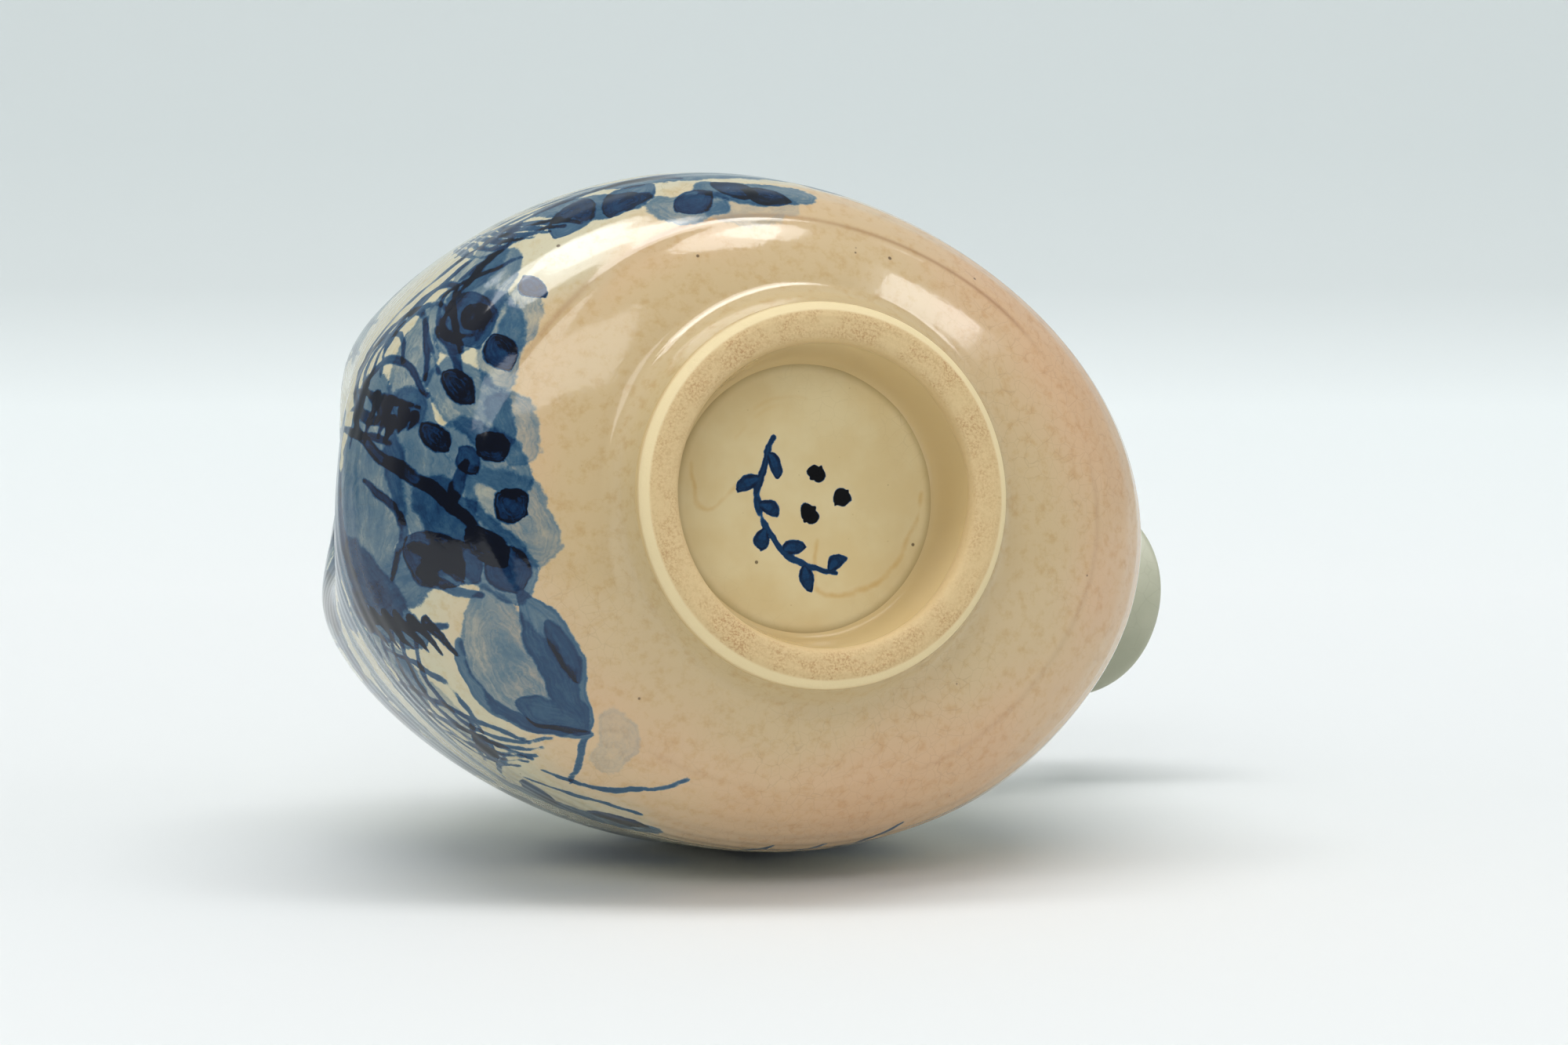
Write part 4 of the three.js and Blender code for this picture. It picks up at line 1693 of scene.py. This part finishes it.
@dataclass
class Studio:
    """Pale floor, soft light and the camera, laid out around the bottle on its side.

    The camera looks into the foot. Its axes are worked out from how the foot's axis
    recedes: to the left by yaw, down by pitch, with the body's long axis falling to the
    right by roll. The floor is a plane that touches the bottle from below as the camera
    sees it.

    Attributes:
        yaw: Turn of the foot's axis to the left, in degrees.
        pitch: Fall of the foot's axis, in degrees.
        roll: Fall of the long axis to the right, in degrees.
        distance: From the camera to the foot's plane, in metres.
        foot_right: Shift of the foot from the middle of the view, in metres.
        foot_up: The same, upwards.
        lens: Focal length for a sensor 36 mm wide.
        look_down: Angle between the view and the floor, in degrees.
        bend_start: Where the sweep starts to rise behind the bottle, in metres.
        bend_radius: Radius of its bend, in metres.
        side_glow: Strength of the tent's light from the sides.
        top_glow: Strength of the tent's light from above.
        camera_gap: How much darker the tent is behind the camera, as the glaze shows it.
        boxes: The soft boxes.
    """

    yaw: float = 18.47
    pitch: float = 2.43
    roll: float = 7.62
    distance: float = 0.5607
    foot_right: float = 0.00555
    foot_up: float = 0.00346
    lens: float = 103.65
    look_down: float = 6.0
    bend_start: float = 0.30
    bend_radius: float = 0.70
    side_glow: float = 0.63
    top_glow: float = 0.62
    camera_gap: float = 0.75
    boxes: tuple[SoftBox, ...] = (
        SoftBox("main_box", (-0.05, 1.44, 0.22), (1.60, 0.45), 12.0),
        SoftBox("right_box", (1.45, 1.16, 0.47), (0.70, 0.50), 1.1),
        SoftBox("front_box", (-0.20, 0.87, 1.25), (0.90, 0.40), 3.4),
        SoftBox("main_card", (0.03, 1.40, 0.38), (1.20, 0.62), 14.5, True),
        SoftBox("right_card", (1.20, 0.96, 0.40), (0.40, 0.30), 2.2, True),
    )

    def axes(self) -> Matrix:
        """Works out the camera's turn.

        Returns:
            Rows that are the camera's right, up and back in the bottle's frame.
        """
        yaw, pitch, roll = np.radians([self.yaw, self.pitch, self.roll])
        up_axis = np.array([-np.sin(yaw) * np.cos(pitch), -np.sin(pitch), -np.cos(yaw) * np.cos(pitch)])
        fall = np.array([np.cos(roll), -np.sin(roll), 0.0])
        long_axis = fall - (fall @ up_axis) * up_axis
        long_axis /= np.linalg.norm(long_axis)
        cross_axis = np.cross(up_axis, long_axis)
        return Matrix(np.stack([long_axis, cross_axis, up_axis], axis=1).tolist())

    def stage_axes(self) -> np.ndarray:
        """Works out the studio's turn, the camera's tipped by look_down.

        Returns:
            Rows that are the studio's right, up and front in the bottle's frame.
        """
        right, up, back = (np.array(row) for row in self.axes())
        tip = np.radians(self.look_down)
        top = up * np.cos(tip) + back * np.sin(tip)
        front = back * np.cos(tip) - up * np.sin(tip)
        return np.stack([right, top, front])

    def lay_camera(self) -> None:
        """Creates the camera and makes it the scene's."""
        right, up, back = self.axes()
        foot = Vector(foot_axis() * MM)
        place = foot - self.foot_right * right - self.foot_up * up + self.distance * back
        camera = bpy.data.objects.new("camera", bpy.data.cameras.new("camera"))
        camera.data.lens = self.lens
        camera.data.sensor_width = 36.0
        camera.data.clip_start = 0.01
        turn = Matrix((right, up, back)).transposed().to_4x4()
        camera.matrix_world = Matrix.Translation(place) @ turn
        bpy.context.scene.collection.objects.link(camera)
        bpy.context.scene.camera = camera

    def floor_height(self, pieces: list[bpy.types.Object]) -> float:
        """Lowest reach of the pieces along the studio's up axis.

        Args:
            pieces: The finished pieces.

        Returns:
            Metres from the frame's origin.
        """
        up = self.stage_axes()[1]
        lowest = []
        for piece in pieces:
            points = np.empty(len(piece.data.vertices) * 3, dtype=np.float32)
            piece.data.vertices.foreach_get("co", points)
            lowest.append((points.reshape(-1, 3) @ up).min())
        return float(min(lowest))

    def lay_floor(self, pieces: list[bpy.types.Object]) -> None:
        """Lays the pale sweep under the lying bottle and a pale table under its foot.

        Args:
            pieces: The pieces that the sweep has to touch.
        """
        right, up, front = self.stage_axes()
        height = self.floor_height(pieces) - 0.0001
        turn = np.linspace(0.0, 0.5 * np.pi, 33)
        bend = np.stack([-np.sin(turn), 1.0 - np.cos(turn)], axis=1) * self.bend_radius
        bend[:, 0] -= self.bend_start
        profile = np.vstack([[1.5, 0.0], bend, [bend[-1, 0], 3.0]])
        middle = profile[:, :1] * front + (profile[:, 1:] + height) * up
        edges = np.stack([middle - 4.0 * right, middle + 4.0 * right], axis=1)
        sweep = self.sheet("sweep", edges, self.sweep_material())
        ground = CAD_BOX[0][2] - 0.0001
        rows = [[(-3.0, y, ground), (3.0, y, ground)] for y in (-3.0, 3.0)]
        table = self.sheet("table", np.array(rows), self.table_material())
        for ray in ("diffuse", "glossy", "transmission", "shadow", "volume_scatter"):
            setattr(table, "visible_" + ray, False)

    def sheet(self, name: str, edges: np.ndarray, material: bpy.types.Material) -> bpy.types.Object:
        """Smooth sheet between a left and a right edge.

        Args:
            name: Name of the sheet.
            edges: Points in metres, rows by 2 by 3, left then right, from front to back.
            material: Finish of the sheet.

        Returns:
            The sheet, facing up.
        """
        row = 2 * np.arange(len(edges) - 1)[:, None]
        mesh = bpy.data.meshes.new(name)
        mesh.from_pydata(edges.reshape(-1, 3).tolist(), [], (row + [0, 1, 3, 2]).tolist())
        mesh.shade_smooth()
        mesh.materials.append(material)
        plane = bpy.data.objects.new(name, mesh)
        bpy.context.scene.collection.objects.link(plane)
        return plane

    def one_sided(self, nodes: Nodes) -> None:
        """Lets the view pass through the back of a stage sheet.

        Args:
            nodes: The sheet's material.
        """
        output = next(n for n in nodes.tree.nodes if n.type == "OUTPUT_MATERIAL")
        behind = nodes.add("NewGeometry", out="Backfacing")
        seen = nodes.add("LightPath", out="Is Camera Ray")
        hidden = nodes.add("Math", behind, seen, operation="MULTIPLY")
        mixed = nodes.add("MixShader", hidden, nodes.shader.outputs[0], nodes.add("BsdfTransparent"))
        nodes.tree.links.new(mixed, output.inputs["Surface"])

    def sweep_material(self) -> bpy.types.Material:
        """Matte paper, white under the bottle, with painted shade: greyer where it rises behind it and a
        touch greyer towards the front.

        Returns:
            The material.
        """
        material = bpy.data.materials.new("pale_paper_sweep")
        nodes = Nodes(material)
        _, up, front = self.stage_axes()
        place = nodes.add("TexCoord", out="Object")
        along = nodes.add("VectorMath", place, tuple(front - up), out="Value", operation="DOT_PRODUCT")
        run = nodes.add("MapRange", along, -1.0, 0.2)
        # painted shade: the ramp greys the sheet where it rises behind the bottle and dims it slightly
        # towards the front
        risen_painted_shade = ((0.15, "#ced5d5"), (0.28, "#d0d7d7"), (0.37, "#d6dcdc"), (0.45, "#edf2f2"))
        flat = ((0.60, "#f2f4f4"), (0.80, "#eaecec"))
        nodes.link(nodes.add("ValToRGB", run, stops=risen_painted_shade + flat), "Base Color")
        nodes.shader.inputs["Roughness"].default_value = 0.9
        nodes.shader.inputs["Specular IOR Level"].default_value = 0.1
        self.one_sided(nodes)
        return material

    def table_material(self) -> bpy.types.Material:
        """Matte pale table seen only by upright views.

        Returns:
            The material.
        """
        material = bpy.data.materials.new("pale_table")
        nodes = Nodes(material)
        nodes.shader.inputs["Base Color"].default_value = linear("#eef1f1")
        nodes.shader.inputs["Roughness"].default_value = 0.9
        self.one_sided(nodes)
        return material

    def lay_lights(self) -> None:
        """Hangs the soft boxes and sets the room's even light."""
        axes = self.stage_axes()
        centre = np.mean(CAD_BOX, axis=0)
        for box in self.boxes:
            light = bpy.data.lights.new(box.name, "AREA")
            light.shape = "RECTANGLE"
            light.size, light.size_y = box.size
            light.energy = box.power
            lamp = bpy.data.objects.new(box.name, light)
            lamp.visible_diffuse = not box.gloss_only
            reach = np.array(box.place) @ axes
            back = Vector(reach).normalized()
            side = Vector(axes[0])
            side = (side - side.dot(back) * back).normalized()
            turn = Matrix((side, back.cross(side), back)).transposed().to_4x4()
            lamp.matrix_world = Matrix.Translation(Vector(centre + reach)) @ turn
            bpy.context.scene.collection.objects.link(lamp)
        bpy.context.scene.world = self.room()
        bpy.context.scene.view_settings.view_transform = "Standard"

    def room(self) -> bpy.types.World:
        """White tent, brighter overhead, with a darker gap behind the camera for the glaze.

        Returns:
            The world.
        """
        world = bpy.data.worlds.new("light_tent")
        nodes = Nodes(world, "BACKGROUND")
        _, up, front = self.stage_axes()
        way = nodes.add("TexCoord", out="Generated")
        high = tuple(0.85 * up + 0.49 * front)
        lift = nodes.add("VectorMath", way, high, out="Value", operation="DOT_PRODUCT")
        glow = nodes.add("MapRange", lift, -0.1, 0.9, self.side_glow, self.top_glow, **SOFT)
        ahead = nodes.add("VectorMath", way, tuple(front), out="Value", operation="DOT_PRODUCT")
        gap = nodes.add("MapRange", ahead, 0.1, 0.8, 0.0, self.camera_gap, **SOFT)
        glossy = nodes.add("LightPath", out="Is Glossy Ray")
        cut = nodes.add("Math", gap, glossy, operation="MULTIPLY")
        left = nodes.add("Math", 1.0, cut, operation="SUBTRACT")
        nodes.link(nodes.add("Math", glow, left, operation="MULTIPLY"), "Strength")
        nodes.shader.inputs["Color"].default_value = linear("#f4f7f8")
        return world


# --------------------------------------------------------------------------- build


def main() -> None:
    """Builds and dresses every piece, then the studio."""
    logging.basicConfig(level=logging.INFO)
    foot_maker = FootRing()
    floor_maker = RecessFloor()
    neck_maker = LeaningNeck()
    halves = GlazedBody().build()
    foot = foot_maker.build()
    foot_maker.dress(foot)
    recess = floor_maker.build()
    floor_maker.dress(recess)
    tube = neck_maker.build_tube()
    lip = neck_maker.build_lip()
    neck_maker.dress(tube, lip)
    pieces = [*halves, foot, recess, tube, lip]
    for piece in pieces:
        LOG.info("%s: %d faces", piece.name, len(piece.data.polygons))
    studio = Studio()
    studio.lay_camera()
    studio.lay_floor(pieces)
    studio.lay_lights()
    bpy.context.view_layer.update()


if __name__ == "__main__":
    main()
